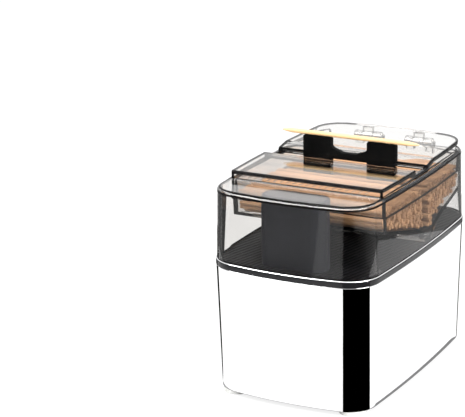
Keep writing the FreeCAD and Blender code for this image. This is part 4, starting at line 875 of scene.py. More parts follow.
FINISHES = (
    Finish("polished_metal", Look.MIRROR, (0.985, 0.985, 0.99), (0.95, 0.95, 0.96), 0.02, 0.25, 0.0003),
    Finish("black_gloss", Look.GLOSS, (0.008, 0.008, 0.009), (0.012, 0.012, 0.013), 0.14, 0.6, 0.001, 0.0, 0.3),
    Finish("deck_grey", Look.MOULDED, (0.003, 0.003, 0.0035), (0.006, 0.006, 0.007), 0.36, 1.4, 0.004, 0.0, 0.07),
    Finish(
        "tower_charcoal", Look.MOULDED, (0.01, 0.0105, 0.0135), (0.013, 0.0135, 0.017), 0.38, 1.1, 4e-4, 0.0, 0.2
    ),
    Finish("window_black", Look.GLOSS, (0.045, 0.043, 0.045), (0.055, 0.052, 0.054), 0.3, 0.8, 0.001, 0.0, 0.4),
    Finish("smoky_clear", Look.CLEAR, (0.985, 0.98, 0.97), (0.97, 0.96, 0.95), 0.015, 0.2, 0.0),
    Finish("toothpick_wood", Look.WOOD, (0.60, 0.36, 0.20), (0.20, 0.10, 0.05), 0.6, 1.2, 0.03, 0.0, 0.3),
    Finish("fork_black", Look.MOULDED, (0.003, 0.003, 0.003), (0.006, 0.006, 0.006), 0.45, 3.0, 0.002, 0.0, 0.02),
    Finish("gear_nylon", Look.MOULDED, (0.80, 0.79, 0.74), (0.74, 0.73, 0.68), 0.45, 1.5, 0.01),
    Finish("pinion_brass", Look.GROUND, (0.78, 0.60, 0.30), (0.70, 0.52, 0.25), 0.28, 1.5, 0.004),
    Finish("steel", Look.GROUND, (0.62, 0.62, 0.63), (0.52, 0.52, 0.53), 0.3, 1.5, 0.004),
    Finish("motor_steel", Look.GROUND, (0.55, 0.56, 0.58), (0.47, 0.48, 0.50), 0.32, 0.8, 0.004),
    Finish("armature_iron", Look.GROUND, (0.20, 0.20, 0.21), (0.12, 0.12, 0.12), 0.5, 2.0, 0.01),
    Finish("motor_white", Look.MOULDED, (0.78, 0.77, 0.73), (0.72, 0.71, 0.67), 0.45, 1.2, 0.01),
    Finish("contact_metal", Look.GROUND, (0.70, 0.70, 0.66), (0.60, 0.60, 0.56), 0.25, 1.2, 0.004),
    Finish("cell_wrap", Look.GLOSS, (0.10, 0.12, 0.14), (0.08, 0.10, 0.12), 0.3, 0.6, 0.004, 0.3),
    Finish("case_black", Look.MOULDED, (0.028, 0.028, 0.030), (0.040, 0.040, 0.042), 0.5, 2.5, 0.02),
    Finish("plate_steel", Look.GROUND, (0.60, 0.60, 0.60), (0.50, 0.50, 0.50), 0.34, 0.7, 0.004),
    Finish("board_green", Look.BOARD, (0.02, 0.14, 0.06), (0.015, 0.09, 0.04), 0.35, 1.0, 0.01, 0.4),
    Finish("part_black", Look.MOULDED, (0.02, 0.02, 0.02), (0.035, 0.035, 0.035), 0.5, 3.0, 0.01),
    Finish("diode_clear", Look.GLOSS, (0.55, 0.52, 0.65), (0.50, 0.47, 0.60), 0.1, 0.6, 0.0, 0.5),
    Finish("diode_dark", Look.GLOSS, (0.03, 0.02, 0.03), (0.04, 0.03, 0.04), 0.1, 0.6, 0.0, 0.5),
    Finish("capacitor_blue", Look.GLOSS, (0.05, 0.08, 0.20), (0.04, 0.07, 0.17), 0.3, 0.8, 0.004, 0.2),
    Finish("foot_rubber", Look.RUBBER, (0.70, 0.70, 0.68), (0.60, 0.60, 0.58), 0.6, 2.0, 0.02),
    Finish("knob_grey", Look.MOULDED, (0.22, 0.22, 0.23), (0.28, 0.28, 0.29), 0.45, 2.0, 0.02),
)

# Near-black finish for the rounded edges of clear parts: painted shade for the dark outlines that refraction gives
# clear plastic.
CLEAR_EDGE = Finish(
    "clear_edge", Look.CLEAR_EDGE, (0.006, 0.005, 0.005), (0.002, 0.002, 0.002), 0.12, 0.4, 0.0, 0.0, 0.08
)
# Mirror metal for a thin strip on the rim band's rounded top edge: a painted highlight line there.
RIM_HIGHLIGHT = Finish("rim_bead", Look.MIRROR, (0.93, 0.93, 0.94), (0.88, 0.88, 0.89), 0.16, 0.25, 0.0003)
# A lighter copy of the toothpick wood, for the presented toothpick.
LIGHTER_PICK = Finish("fresh_pick", Look.WOOD, (0.86, 0.60, 0.32), (0.76, 0.47, 0.20), 0.5, 1.2, 0.02)

CLEAR_SLOTS = ("smoky_clear", "clear_edge")

# Absorption inside the clear plastic: its colour, and its density for each metre
CLEAR_TINT = (0.46, 0.43, 0.39)
CLEAR_DENSITY = 60.0


class Wardrobe:
    """Makes the materials and hands them out by slot."""

    def __init__(self) -> None:
        """Make every material once."""
        self.makers = {
            Look.MOULDED: self._moulded,
            Look.GLOSS: self._moulded,
            Look.RUBBER: self._moulded,
            Look.BOARD: self._board,
            Look.MIRROR: self._metal,
            Look.GROUND: self._metal,
            Look.CLEAR: self._clear,
            Look.CLEAR_EDGE: self._clear_edge,
            Look.WOOD: self._wood,
        }
        everything = (*FINISHES, CLEAR_EDGE, RIM_HIGHLIGHT, LIGHTER_PICK)
        self.ready = {finish.slot: self.makers[finish.look](finish) for finish in everything}

    def __getitem__(self, slot: str) -> bpy.types.Material:
        """The material of a slot."""
        return self.ready[slot]

    @staticmethod
    def _moulded(finish: Finish) -> bpy.types.Material:
        """Plastic or rubber: clouded colour, uneven gloss, fine grain and rubbed patches.

        Args:
            finish: The finish to make.

        Returns:
            The material.
        """
        graph = MaterialGraph(finish.slot)
        where = graph.place()
        cloud = graph.noise(where, 0.06, 3.0)
        grain = graph.noise(where, finish.grain, 4.0, 0.6)
        rubbed = graph.ranged(graph.noise(where, 0.25, 6.0, 0.7), 0.56, 0.72)
        colour = graph.mixed(finish.colour, finish.other, graph.ranged(cloud, 0.35, 0.65))
        roughness = finish.roughness + (grain - 0.5) * 0.12 + rubbed * 0.05
        surface = graph.surface(
            Base_Color=colour,
            Roughness=roughness,
            Normal=graph.bumped(grain, 0.35, finish.bump),
            Coat_Weight=finish.coat,
            Coat_Roughness=0.08,
            Specular_IOR_Level=finish.specular,
        )
        return graph.finish(surface)

    @staticmethod
    def _board(finish: Finish) -> bpy.types.Material:
        """Circuit board: copper tracks that show faintly through the coloured lacquer.

        Args:
            finish: The finish to make.

        Returns:
            The material.
        """
        graph = MaterialGraph(finish.slot)
        where = graph.place()
        cells = graph.node(
            "ShaderNodeTexVoronoi",
            {"feature": "DISTANCE_TO_EDGE", "distance": "EUCLIDEAN"},
            {"Vector": where, "Scale": 0.45},
            "Distance",
        )
        track = cells < 0.08
        colour = graph.mixed(finish.colour, finish.other, track)
        grain = graph.noise(where, finish.grain, 4.0)
        surface = graph.surface(
            Base_Color=colour,
            Roughness=finish.roughness + (grain - 0.5) * 0.1,
            Normal=graph.bumped(track, 0.3, finish.bump),
            Coat_Weight=finish.coat,
            Coat_Roughness=0.1,
        )
        return graph.finish(surface)

    @staticmethod
    def _metal(finish: Finish) -> bpy.types.Material:
        """Metal with fine grinding lines, faint smudges and a slightly uneven gloss.

        Args:
            finish: The finish to make.

        Returns:
            The material.
        """
        graph = MaterialGraph(finish.slot)
        where = graph.place()
        polished = finish.look is Look.MIRROR
        lines = graph.noise(graph.place((0.05, 0.05, 2.0)), 4.0 if polished else 3.0, 2.0)
        smudge = graph.ranged(graph.noise(where, 0.05, 4.0), 0.45, 0.7)
        colour = graph.mixed(finish.colour, finish.other, smudge)
        swing = 0.012 if polished else 0.12
        surface = graph.surface(
            Base_Color=colour,
            Metallic=1.0,
            Roughness=finish.roughness + lines * swing + smudge * swing,
            Normal=graph.bumped(lines, 0.04 if polished else 0.3, finish.bump),
        )
        return graph.finish(surface)

    @staticmethod
    def _clear(finish: Finish) -> bpy.types.Material:
        """Clear plastic that darkens where light runs far through it; lamps shine through.

        Args:
            finish: The finish to make.

        Returns:
            The material.
        """
        graph = MaterialGraph(finish.slot)
        where = graph.place()
        haze = graph.noise(where, 0.12, 4.0)
        scuff = graph.ranged(graph.noise(graph.place((1.0, 0.25, 1.0)), 1.2, 5.0, 0.7), 0.62, 0.8)
        body = graph.surface(
            Base_Color=graph.mixed(finish.colour, finish.other, haze),
            Roughness=finish.roughness + scuff * 0.02,
            IOR=1.4,
            Transmission_Weight=1.0,
        )
        through = graph.node("ShaderNodeBsdfTransparent", {}, {"Color": finish.colour})
        path = graph.node("ShaderNodeLightPath", output="Is Shadow Ray")
        surface = graph.node("ShaderNodeMixShader", {}, {0: path, 1: body, 2: through})
        volume = graph.node("ShaderNodeVolumeAbsorption", {}, {"Color": CLEAR_TINT, "Density": CLEAR_DENSITY})
        return graph.finish(surface, volume)

    @staticmethod
    def _clear_edge(finish: Finish) -> bpy.types.Material:
        """Rounded edge of clear plastic painted near black: a painted shade for the dark outline that light led
        away in the edge would give it.

        Args:
            finish: The finish to make.

        Returns:
            The material.
        """
        graph = MaterialGraph(finish.slot)
        uneven = graph.noise(graph.place(), finish.grain, 4.0)
        surface = graph.surface(
            Base_Color=graph.mixed(finish.colour, finish.other, uneven),
            Roughness=finish.roughness + uneven * 0.06,
            IOR=1.4,
            Transmission_Weight=0.16,
            Specular_IOR_Level=finish.specular,
        )
        return graph.finish(surface)

    @staticmethod
    def _wood(finish: Finish) -> bpy.types.Material:
        """Pale wood: grain along the stick, a tone of its own for each, and darker flecks of fibre here and there.

        Args:
            finish: The finish to make.

        Returns:
            The material.
        """
        graph = MaterialGraph(finish.slot)
        fibre = graph.noise(graph.place((0.06, 2.2, 2.2)), finish.grain, 5.0, 0.65)
        fleck = graph.noise(graph.place((0.35, 1.6, 1.6)), 1.0, 4.0, 0.7)
        stored = {"attribute_type": "GEOMETRY", "attribute_name": "tone"}
        tone = graph.node("ShaderNodeAttribute", stored, {}, "Fac")
        share = graph.ranged(fibre, 0.3, 0.7) * 0.45 + tone * 0.55
        colour = graph.mixed(finish.colour, finish.other, share)
        dark = tuple(part * 0.45 for part in finish.other)
        colour = graph.mixed(colour, dark, graph.ranged(fleck, 0.6, 0.78, 0.0, 0.5))
        surface = graph.surface(
            Base_Color=colour,
            Roughness=finish.roughness + (fibre - 0.5) * 0.2,
            Normal=graph.bumped(fibre, 0.5, finish.bump),
            Specular_IOR_Level=finish.specular,
        )
        return graph.finish(surface)


# Geometry nodes


class GeometryGraph(NodeGraph):
    """A geometry tree with named inputs that ends in real, dressed geometry."""

    def __init__(self, name: str, inputs: dict[str, str]) -> None:
        """Start a tree.

        Args:
            name: Name of the tree.
            inputs: Name and kind of each input.
        """
        super().__init__(bpy.data.node_groups.new(name, "GeometryNodeTree"))
        face = self.tree.interface
        face.new_socket("Geometry", in_out="OUTPUT", socket_type="NodeSocketGeometry")
        self.identifiers = {}
        for key, kind in inputs.items():
            socket = face.new_socket(key, in_out="INPUT", socket_type=f"NodeSocket{kind.title()}")
            self.identifiers[key] = socket.identifier
        self.group = self.tree.nodes.new("NodeGroupInput")

    def given(self, key: str) -> Signal:
        """One named input."""
        return Signal(self, self.group.outputs[key])

    def joined(self, x: Feed, y: Feed, z: Feed) -> Signal:
        """A vector from three numbers."""
        return self.node("ShaderNodeCombineXYZ", {}, {0: x, 1: y, 2: z})

    def random(self, kind: str, low: Feed, high: Feed, seed: Feed) -> Signal:
        """A fixed random value for each element.

        Args:
            kind: "FLOAT" or "FLOAT_VECTOR".
            low: Lowest value.
            high: Highest value.
            seed: Number of the series.

        Returns:
            The value.
        """
        first, output = (0, 0) if kind == "FLOAT_VECTOR" else (2, 1)
        inputs = {first: low, first + 1: high, "Seed": seed}
        return self.node("FunctionNodeRandomValue", {"data_type": kind}, inputs, output)

    def close(self, geometry: Signal) -> None:
        """Make the geometry real, dress it and lead it out.

        Args:
            geometry: The geometry.
        """
        real = self.node("GeometryNodeRealizeInstances", {}, {0: geometry})
        dressed = self.node(
            "GeometryNodeSetMaterial", {}, {"Geometry": real, "Material": self.given("Material")}
        )
        out = self.tree.nodes.new("NodeGroupOutput")
        self.feed(out.inputs[0], dressed)

    def grown(self, name: str, values: dict[str, object]) -> Piece:
        """Run the tree and keep its result as a plain mesh.

        Args:
            name: Name of the piece.
            values: Values for the named inputs.

        Returns:
            The piece.
        """
        piece = new_object(name, [], [])
        modifier = piece.modifiers.new("rule", "NODES")
        modifier.node_group = self.tree
        for key, value in values.items():
            modifier[self.identifiers[key]] = value
        baked(piece)
        piece.data.materials.clear()
        piece.data.materials.append(values["Material"])
        for face in piece.data.polygons:
            face.material_index = 0
        return piece


# Sections along a stick, sides round it, and what is left of its radius at the tip
STICK_SECTIONS = 34
STICK_SIDES = 8
STICK_TIP = 0.16


def pick_rows() -> GeometryGraph:
    """A rule that stacks pointed sticks in staggered rows inside a section.

    Returns:
        The rule.
    """
    graph = GeometryGraph(
        "pick_rows",
        {
            "Section": "object",
            "Rows": "int",
            "Columns": "int",
            "First Y": "float",
            "First Z": "float",
            "Pitch": "float",
            "Free Y": "float",
            "Free Half": "float",
            "Length": "float",
            "Radius": "float",
            "Point": "float",
            "End Play": "float",
            "Jitter": "float",
            "Turn": "float",
            "Seed": "int",
            "Material": "material",
        },
    )
    given = graph.given
    count = given("Rows") * given("Columns")
    index = graph.node("GeometryNodeInputIndex")
    row = graph.math("FLOOR", index / given("Columns"))
    column = index - row * given("Columns")
    y = given("First Y") + (column + (row % 2.0) * 0.5) * given("Pitch")
    z = given("First Z") + row * given("Pitch") * (math.sqrt(3) / 2)
    points = graph.node("GeometryNodePoints", {}, {"Count": count, "Position": graph.joined(0.0, y, z)})
    section = graph.node("GeometryNodeObjectInfo", {}, {"Object": given("Section")}, "Geometry")
    position = graph.node("GeometryNodeInputPosition")
    hit = graph.node(
        "GeometryNodeRaycast",
        {"data_type": "FLOAT"},
        {"Target Geometry": section, "Source Position": position, "Ray Direction": (1.0, 0.0, 0.0)},
        "Is Hit",
    )
    place_y = graph.node("ShaderNodeSeparateXYZ", {}, {0: position}, 1)
    in_lane = abs(place_y - given("Free Y")) < given("Free Half")
    spare = graph.math("MAXIMUM", in_lane, 1.0 - hit)
    inputs = {"Geometry": points, "Selection": spare}
    points = graph.node("GeometryNodeDeleteGeometry", {"domain": "POINT"}, inputs)

    half = given("Length") * 0.5
    line = graph.node(
        "GeometryNodeCurvePrimitiveLine",
        {"mode": "POINTS"},
        {"Start": graph.joined(half * -1.0, 0.0, 0.0), "End": graph.joined(half, 0.0, 0.0)},
    )
    line = graph.node("GeometryNodeResampleCurve", {"mode": "COUNT"}, {"Curve": line, "Count": STICK_SECTIONS})
    along = graph.node("ShaderNodeSeparateXYZ", {}, {0: graph.node("GeometryNodeInputPosition")}, 0)
    taper = graph.ranged((half - abs(along)) / given("Point"), 0.0, 1.0, STICK_TIP, 1.0)
    line = graph.node("GeometryNodeSetCurveRadius", {}, {"Curve": line, "Radius": taper * given("Radius")})
    circle = {"Resolution": STICK_SIDES, "Radius": 1.0}
    ring = graph.node("GeometryNodeCurvePrimitiveCircle", {"mode": "RADIUS"}, circle)
    stick = graph.node(
        "GeometryNodeCurveToMesh",
        {},
        {"Curve": line, "Profile Curve": ring, "Fill Caps": True},
    )
    stick = graph.node("GeometryNodeSetShadeSmooth", {}, {"Geometry": stick, "Shade Smooth": True})
    sticks = graph.node("GeometryNodeInstanceOnPoints", {}, {"Points": points, "Instance": stick})
    play, jitter = given("End Play"), given("Jitter")
    reach = graph.joined(play, jitter, jitter)
    shift = graph.random("FLOAT_VECTOR", graph.scaled(reach, (-1.0, -1.0, -1.0)), reach, given("Seed"))
    sticks = graph.node("GeometryNodeTranslateInstances", {}, {"Instances": sticks, "Translation": shift})
    yaw = graph.random("FLOAT", given("Turn") * -1.0, given("Turn"), given("Seed") + 3.0)
    sticks = graph.node(
        "GeometryNodeRotateInstances", {}, {"Instances": sticks, "Rotation": graph.joined(0.0, 0.0, yaw)}
    )
    stored = graph.node(
        "GeometryNodeStoreNamedAttribute",
        {"data_type": "FLOAT", "domain": "INSTANCE"},
        {"Geometry": sticks, "Name": "tone", "Value": graph.random("FLOAT", 0.0, 1.0, given("Seed") + 7.0)},
    )
    graph.close(stored)
    return graph


def rib_row() -> GeometryGraph:
    """A rule that repeats one soft-edged rib along a line, each turned by the same angles.

    Returns:
        The rule.
    """
    graph = GeometryGraph(
        "rib_row",
        {
            "Count": "int",
            "Start": "vector",
            "Step": "vector",
            "Turn": "vector",
            "Rib Size": "vector",
            "Material": "material",
        },
    )
    given = graph.given
    line = graph.node(
        "GeometryNodeMeshLine",
        {"mode": "OFFSET"},
        {"Count": given("Count"), "Start Location": given("Start"), "Offset": given("Step")},
    )
    inputs = {"Vertices": 12, "Radius": 0.5, "Depth": 1.0}
    ring = graph.node("GeometryNodeMeshCylinder", {"fill_type": "NGON"}, inputs)
    rib = graph.node("GeometryNodeTransform", {}, {"Geometry": ring, "Scale": given("Rib Size")})
    ribs = graph.node(
        "GeometryNodeInstanceOnPoints", {}, {"Points": line, "Instance": rib, "Rotation": given("Turn")}
    )
    graph.close(ribs)
    return graph


# The dispenser


@dataclass
class Assembly:
    """One sub-assembly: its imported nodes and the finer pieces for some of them; sizes in millimetres."""

    frame: dict[str, dict[str, Piece]]
    wardrobe: Wardrobe
    pieces: list[Piece] = field(default_factory=list)

    def build(self) -> None:
        """Build and dress this sub-assembly's pieces."""
        raise NotImplementedError

    def node(self, name: str) -> Piece:
        """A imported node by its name."""
        return self.frame["nodes"][name]

    def dress(self, slot: str, *names: str) -> None:
        """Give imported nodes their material.

        Args:
            slot: The material slot.
            names: The nodes.
        """
        for name in names:
            mesh = self.node(name).data
            mesh.materials.clear()
            mesh.materials.append(self.wardrobe[slot])
            smoothed(self.node(name), 30.0)
            LOG.info("dressed %s in %s", name, slot)

    def settle(self, piece: Piece, body: str, slot: str, *nodes: str) -> Piece:
        """Bring a finished piece to metres, smooth it and let it ride on its body.

        Args:
            piece: The piece, in millimetres.
            body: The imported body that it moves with.
            slot: The material slot that it takes its finish from.
            nodes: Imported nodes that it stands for.

        Returns:
            The piece.
        """
        piece.data.transform(Matrix.Scale(MM, 4))
        if not piece.data.materials:
            piece.data.materials.append(self.wardrobe[slot])
        smoothed(piece)
        if slot != "toothpick_wood":
            flattened(piece)
        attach(piece, body)
        if nodes:
            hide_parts(*nodes)
        self.pieces.append(piece)
        LOG.info("built %s on %s: %d faces", piece.name, body, len(piece.data.polygons))
        return piece

    def lined(self, piece: Piece, slots: tuple[str, str], chosen: Chooser) -> None:
        """Give some faces of a piece a second finish.

        Args:
            piece: The piece, in millimetres.
            slots: The finish of the piece and that of the chosen faces.
            chosen: Says whether a face is one of them.
        """
        if not piece.data.materials:
            for slot in slots:
                piece.data.materials.append(self.wardrobe[slot])
        for face in piece.data.polygons:
            if chosen(face):
                face.material_index = 1

    def clear_edged(self, piece: Piece, width: float, *lines: Chooser) -> Piece:
        """Round the edges of a clear piece and give them, but for the hinge's, the near-black edge finish, a
        painted shade for their dark outline.

        Args:
            piece: The piece, in millimetres.
            width: Width of the rounding.
            lines: Tests for further faces that get the edge finish, as painted dark lines.

        Returns:
            The piece.
        """
        cleaned(piece, True)
        piece.data.materials.clear()
        for slot in CLEAR_SLOTS:
            piece.data.materials.append(self.wardrobe[slot])
        softened(piece, width, 28.0, 1)
        for face in piece.data.polygons:
            if face.center.y > HINGE_Y - HINGE_REACH and abs(face.center.x) < HINGE_HALF:
                face.material_index = 0
        for chosen in lines:
            self.lined(piece, CLEAR_SLOTS, chosen)
        return piece

    def ribs(
        self, name: str, slot: str, count: int, start: Triple, step: Triple, turn: Triple, size: Triple
    ) -> Piece:
        """A row of ribs in one finish.

        Args:
            name: Name of the piece.
            slot: Its material slot.
            count: Number of ribs.
            start: Middle of the first rib.
            step: Way from each rib to the next.
            turn: Angles that each rib is turned by.
            size: Size of a rib, with its length last.

        Returns:
            The ribs as one piece.
        """
        return rib_row().grown(
            name,
            {
                "Count": count,
                "Start": start,
                "Step": step,
                "Turn": turn,
                "Rib Size": size,
                "Material": self.wardrobe[slot],
            },
        )


@dataclass
class Case(Assembly):
    """Feet, polished sleeve, rim band, bottom plate and battery door."""

    sleeve_wall: float = 0.8
    sleeve_taper: float = 1.6
    sleeve_rounds: tuple[float, ...] = (0.35, 0.2, 0.2, 0.3)
    band_proud: float = 0.15
    band_width: float = 2.2
    band_rounds: tuple[float, ...] = (0.35, 0.7, 0.15, 0.15)
    # Slopes and depth of the band's top faces that get mirror metal as a painted highlight line
    highlight_slopes: Point = (0.5, 0.8)
    highlight_depth: float = 0.75
    foot_places: tuple[Point, ...] = ((27.0, 47.8), (27.0, -47.8), (-27.0, 47.8), (-27.0, -47.8))
    foot_profile: tuple[Point, ...] = (
        (0.0, 0.0), (2.2, 0.0), (2.4, 0.35), (3.2, 0.35), (3.4, 0.0), (5.6, 0.0), (5.85, 0.12),
        (6.0, 0.4), (6.0, 1.9), (5.9, FOOT_TOP), (0.0, FOOT_TOP),
    )
    door_round: float = 0.25
    ridge_count: int = 7
    ridge_start: Triple = (0.0, -41.0, 2.2)
    ridge_pitch: float = 2.4
    ridge_size: Triple = (0.5, 0.9, 22.0)

    def build(self) -> None:
        """Build the case."""
        self._sleeve()
        self._band()
        self._feet()
        self.dress("case_black", "bottom_plate")
        self.dress("steel", "base_screws")
        self._door()

    def _sleeve(self) -> None:
        """The sheet metal sleeve, slightly narrower at its foot, with rolled edges."""
        low, wall = self.sleeve_taper, self.sleeve_wall
        corners = [(low, FOOT_TOP), (0.0, SLEEVE_TOP), (wall, SLEEVE_TOP), (low + wall, FOOT_TOP)]
        profile = filleted(corners, self.sleeve_rounds)
        self.settle(sweep("sleeve_fine", CASE, profile), "base", "polished_metal", "sleeve")

    def _band(self) -> None:
        """The glossy rim band with a soft upper edge, on which a thin strip of mirror metal is a painted highlight
        line.
        """
        out, width = -self.band_proud, self.band_width
        corners = [(out, SLEEVE_TOP), (out, BAND_TOP), (width, BAND_TOP), (width, SLEEVE_TOP)]
        band = sweep("rim_band_fine", CASE, filleted(corners, self.band_rounds, 6))
        low, high = self.highlight_slopes
        # Painted highlight: faces on the band's top rounding get mirror metal for a bright line.
        self.lined(
            band,
            ("black_gloss", "rim_bead"),
            lambda face: low < face.normal.z < high and face.center.z > BAND_TOP - self.highlight_depth,
        )
        self.settle(band, "base", "black_gloss", "rim_band")

    def _feet(self) -> None:
        """Four rubber feet, each with a ring groove in its sole."""
        feet = [turned("foot", self.foot_profile, (x, y, 0.0)) for x, y in self.foot_places]
        self.settle(joined_pieces("rubber_feet_fine", feet), "base", "foot_rubber", "rubber_feet")

    def _door(self) -> None:
        """The battery door with soft edges and a row of grip ridges on its outside."""
        door = copy_of(self.node("battery_door"), "battery_door_fine")
        softened(door, self.door_round, clamped=True)
        self.settle(door, "door", "case_black", "battery_door")
        step, turn = (0.0, self.ridge_pitch, 0.0), (0.0, math.pi / 2, 0.0)
        ridges = self.ribs(
            "battery_door_ridges", "case_black", self.ridge_count, self.ridge_start, step, turn, self.ridge_size
        )
        self.settle(ridges, "door", "case_black")


@dataclass
class Deck(Assembly):
    """The dark deck under the cover, with its fine slanted ribs."""

    rib_count: int = 46
    rib_pitch: float = 2.4
    rib_slant: float = math.radians(14.0)
    rib_size: Triple = (0.9, 0.44, 140.0)
    rib_sink: float = 0.05
    rim: float = 2.6
    lane: Point = (4.6, 10.8)

    def build(self) -> None:
        """Dress the deck and lay the ribs, which leave the fork's lane and the tower free."""
        self.dress("deck_grey", "deck")
        start = (-self.rib_pitch * (self.rib_count - 1) / 2, 0.0, DECK_TOP - self.rib_sink)
        step, turn = (self.rib_pitch, 0.0, 0.0), (math.pi / 2, 0.0, -self.rib_slant)
        ribs = self.ribs("deck_ribs", "deck_grey", self.rib_count, start, step, turn, self.rib_size)
        room = prism("deck_room", CASE, self.rim, DECK_TOP - 0.04, DECK_TOP + 1.0)
        front, back = self.lane
        lane = block("deck_lane", (-RAW_HALF, front, DECK_TOP - 1.0), (RAW_HALF, back, DECK_TOP + 2.0))
        tower = prism("deck_tower", TOWER_PLAN, -0.3, DECK_TOP - 1.0, DECK_TOP + 2.0)
        combine(room, Join.CUT, lane, tower)
        combine(ribs, Join.KEEP, room)
        ribs.data.materials.clear()
        self.settle(ribs, "base", "deck_grey")


@dataclass
class Tower(Assembly):
    """The sensor tower behind the front wall; its front stays bare."""

    top: float = 88.1
    wall: float = 1.4
    rounds: tuple[float, ...] = (0.0, 0.5, 0.2, 0.0)

    def build(self) -> None:
        """Build the tower's shell and dress what is in it."""
        corners = [(0.0, DECK_TOP), (0.0, self.top), (self.wall, self.top), (self.wall, DECK_TOP)]
        shell = sweep("sensor_tower_fine", TOWER_PLAN, filleted(corners, self.rounds))
        self.settle(shell, "base", "tower_charcoal", "sensor_tower")
        self.dress("window_black", "sensor_window")
        self.dress("board_green", "sensor_board")
        self.dress("diode_clear", "infrared_emitter")
        self.dress("diode_dark", "infrared_receiver")


@dataclass
class Cover(Assembly):
    """The clear cover with its round shoulder in front and its hinge knuckles behind."""

    inset: float = 0.3
    lean: float = 0.6 / 30.9
    wall: float = 1.5
    shoulder: float = 2.0
    inner_shoulder: float = 0.9
    ring_steps: tuple[int, int] = (7, 4)
    side_drop: float = 0.3
    opening_y: float = -37.0
    back_trim: tuple[Triple, Triple] = ((-31.0, 41.0, 86.0), (31.0, 70.0, 100.0))
    knuckles: tuple[Point, ...] = ((6.0, 9.7), (15.3, 19.0))
    web: tuple[Point, ...] = ((HINGE_Y, 83.0), (57.4, 83.0), (57.4, HINGE_Z))
    pin_hole: float = 1.03
    edge: float = 0.3
    # Slopes, and how far back, of the shoulder faces painted with the near-black edge finish as dark lines beside
    # the shoulder's highlight: painted shade.
    shade_line_slopes: tuple[Point, ...] = ((0.03, 0.4), (0.82, 0.97))
    shade_line_back: float = 50.0

    def _inset(self, z: float) -> float:
        """How far the outside stands in at a height."""
        return self.inset + (z - BAND_TOP) * self.lean

    def _arc(self, inset: float, top: float, radius: float, steps: int) -> list[list[Vector]]:
        """Rings round a shoulder.

        Args:
            inset: Inset where the shoulder starts.
            top: Height of its top.
            radius: Its radius.
            steps: Number of rings.

        Returns:
            The rings, from low to high.
        """
        rings = []
        for step in range(1, steps + 1):
            angle = math.pi / 2 * step / steps
            rings.append(CASE.ring(inset + radius * (1 - math.cos(angle)), top - radius * (1 - math.sin(angle))))
        return rings

    def build(self) -> None:
        """Build the cover."""
        wall_top = COVER_TOP - self.shoulder
        inset = self._inset(wall_top)
        outside = [CASE.ring(self.inset, BAND_TOP), CASE.ring(inset, wall_top)]
        outside += self._arc(inset, COVER_TOP, self.shoulder, self.ring_steps[0])
        low = BAND_TOP - 2.0
        inside = [CASE.ring(self._inset(low) + self.wall, low), CASE.ring(inset + self.wall, wall_top - 0.4)]
        inside += self._arc(inset + self.wall, COVER_TOP - self.wall, self.inner_shoulder, self.ring_steps[1])
        shell = combine(loft("clear_cover_fine", outside), Join.CUT, loft("cover_room", inside))
        opening = prism("cover_opening", CASE, inset + self.wall, wall_top - 3.0, COVER_TOP + 2.0)
        front = block("cover_front", (-PAST_X, -PAST_Y, 70.0), (PAST_X, self.opening_y, PAST_Z))
        combine(opening, Join.CUT, front)
        trim_z = COVER_TOP - self.side_drop
        side_trim = block("cover_side_trim", (-PAST_X, self.opening_y, trim_z), (PAST_X, PAST_Y, PAST_Z))
        combine(shell, Join.CUT, opening, side_trim, block("cover_back_trim", *self.back_trim))
        for side in (1, -1):
            for near, far in self.knuckles:
                left, right = (near, far) if side > 0 else (-far, -near)
                combine(shell, Join.ADD, knuckle("cover_knuckle", (0.0, 270.0), self.web, left, right))
        combine(shell, Join.CUT, pin_hole("cover_pin_hole", self.pin_hole, 24.0))
        # Painted shade: the rounded edges, and the faces of the shoulder's lowest and highest rings in front, take
        # the near-black edge finish as dark lines.
        self.clear_edged(
            shell,
            self.edge,
            lambda face: face.center.z > wall_top - 0.1
            and face.center.y < self.shade_line_back
            and any(low < face.normal.z < high for low, high in self.shade_line_slopes),
        )
        self.settle(shell, "base", "smoky_clear", "clear_cover")
        self.dress("steel", "hinge_pins")


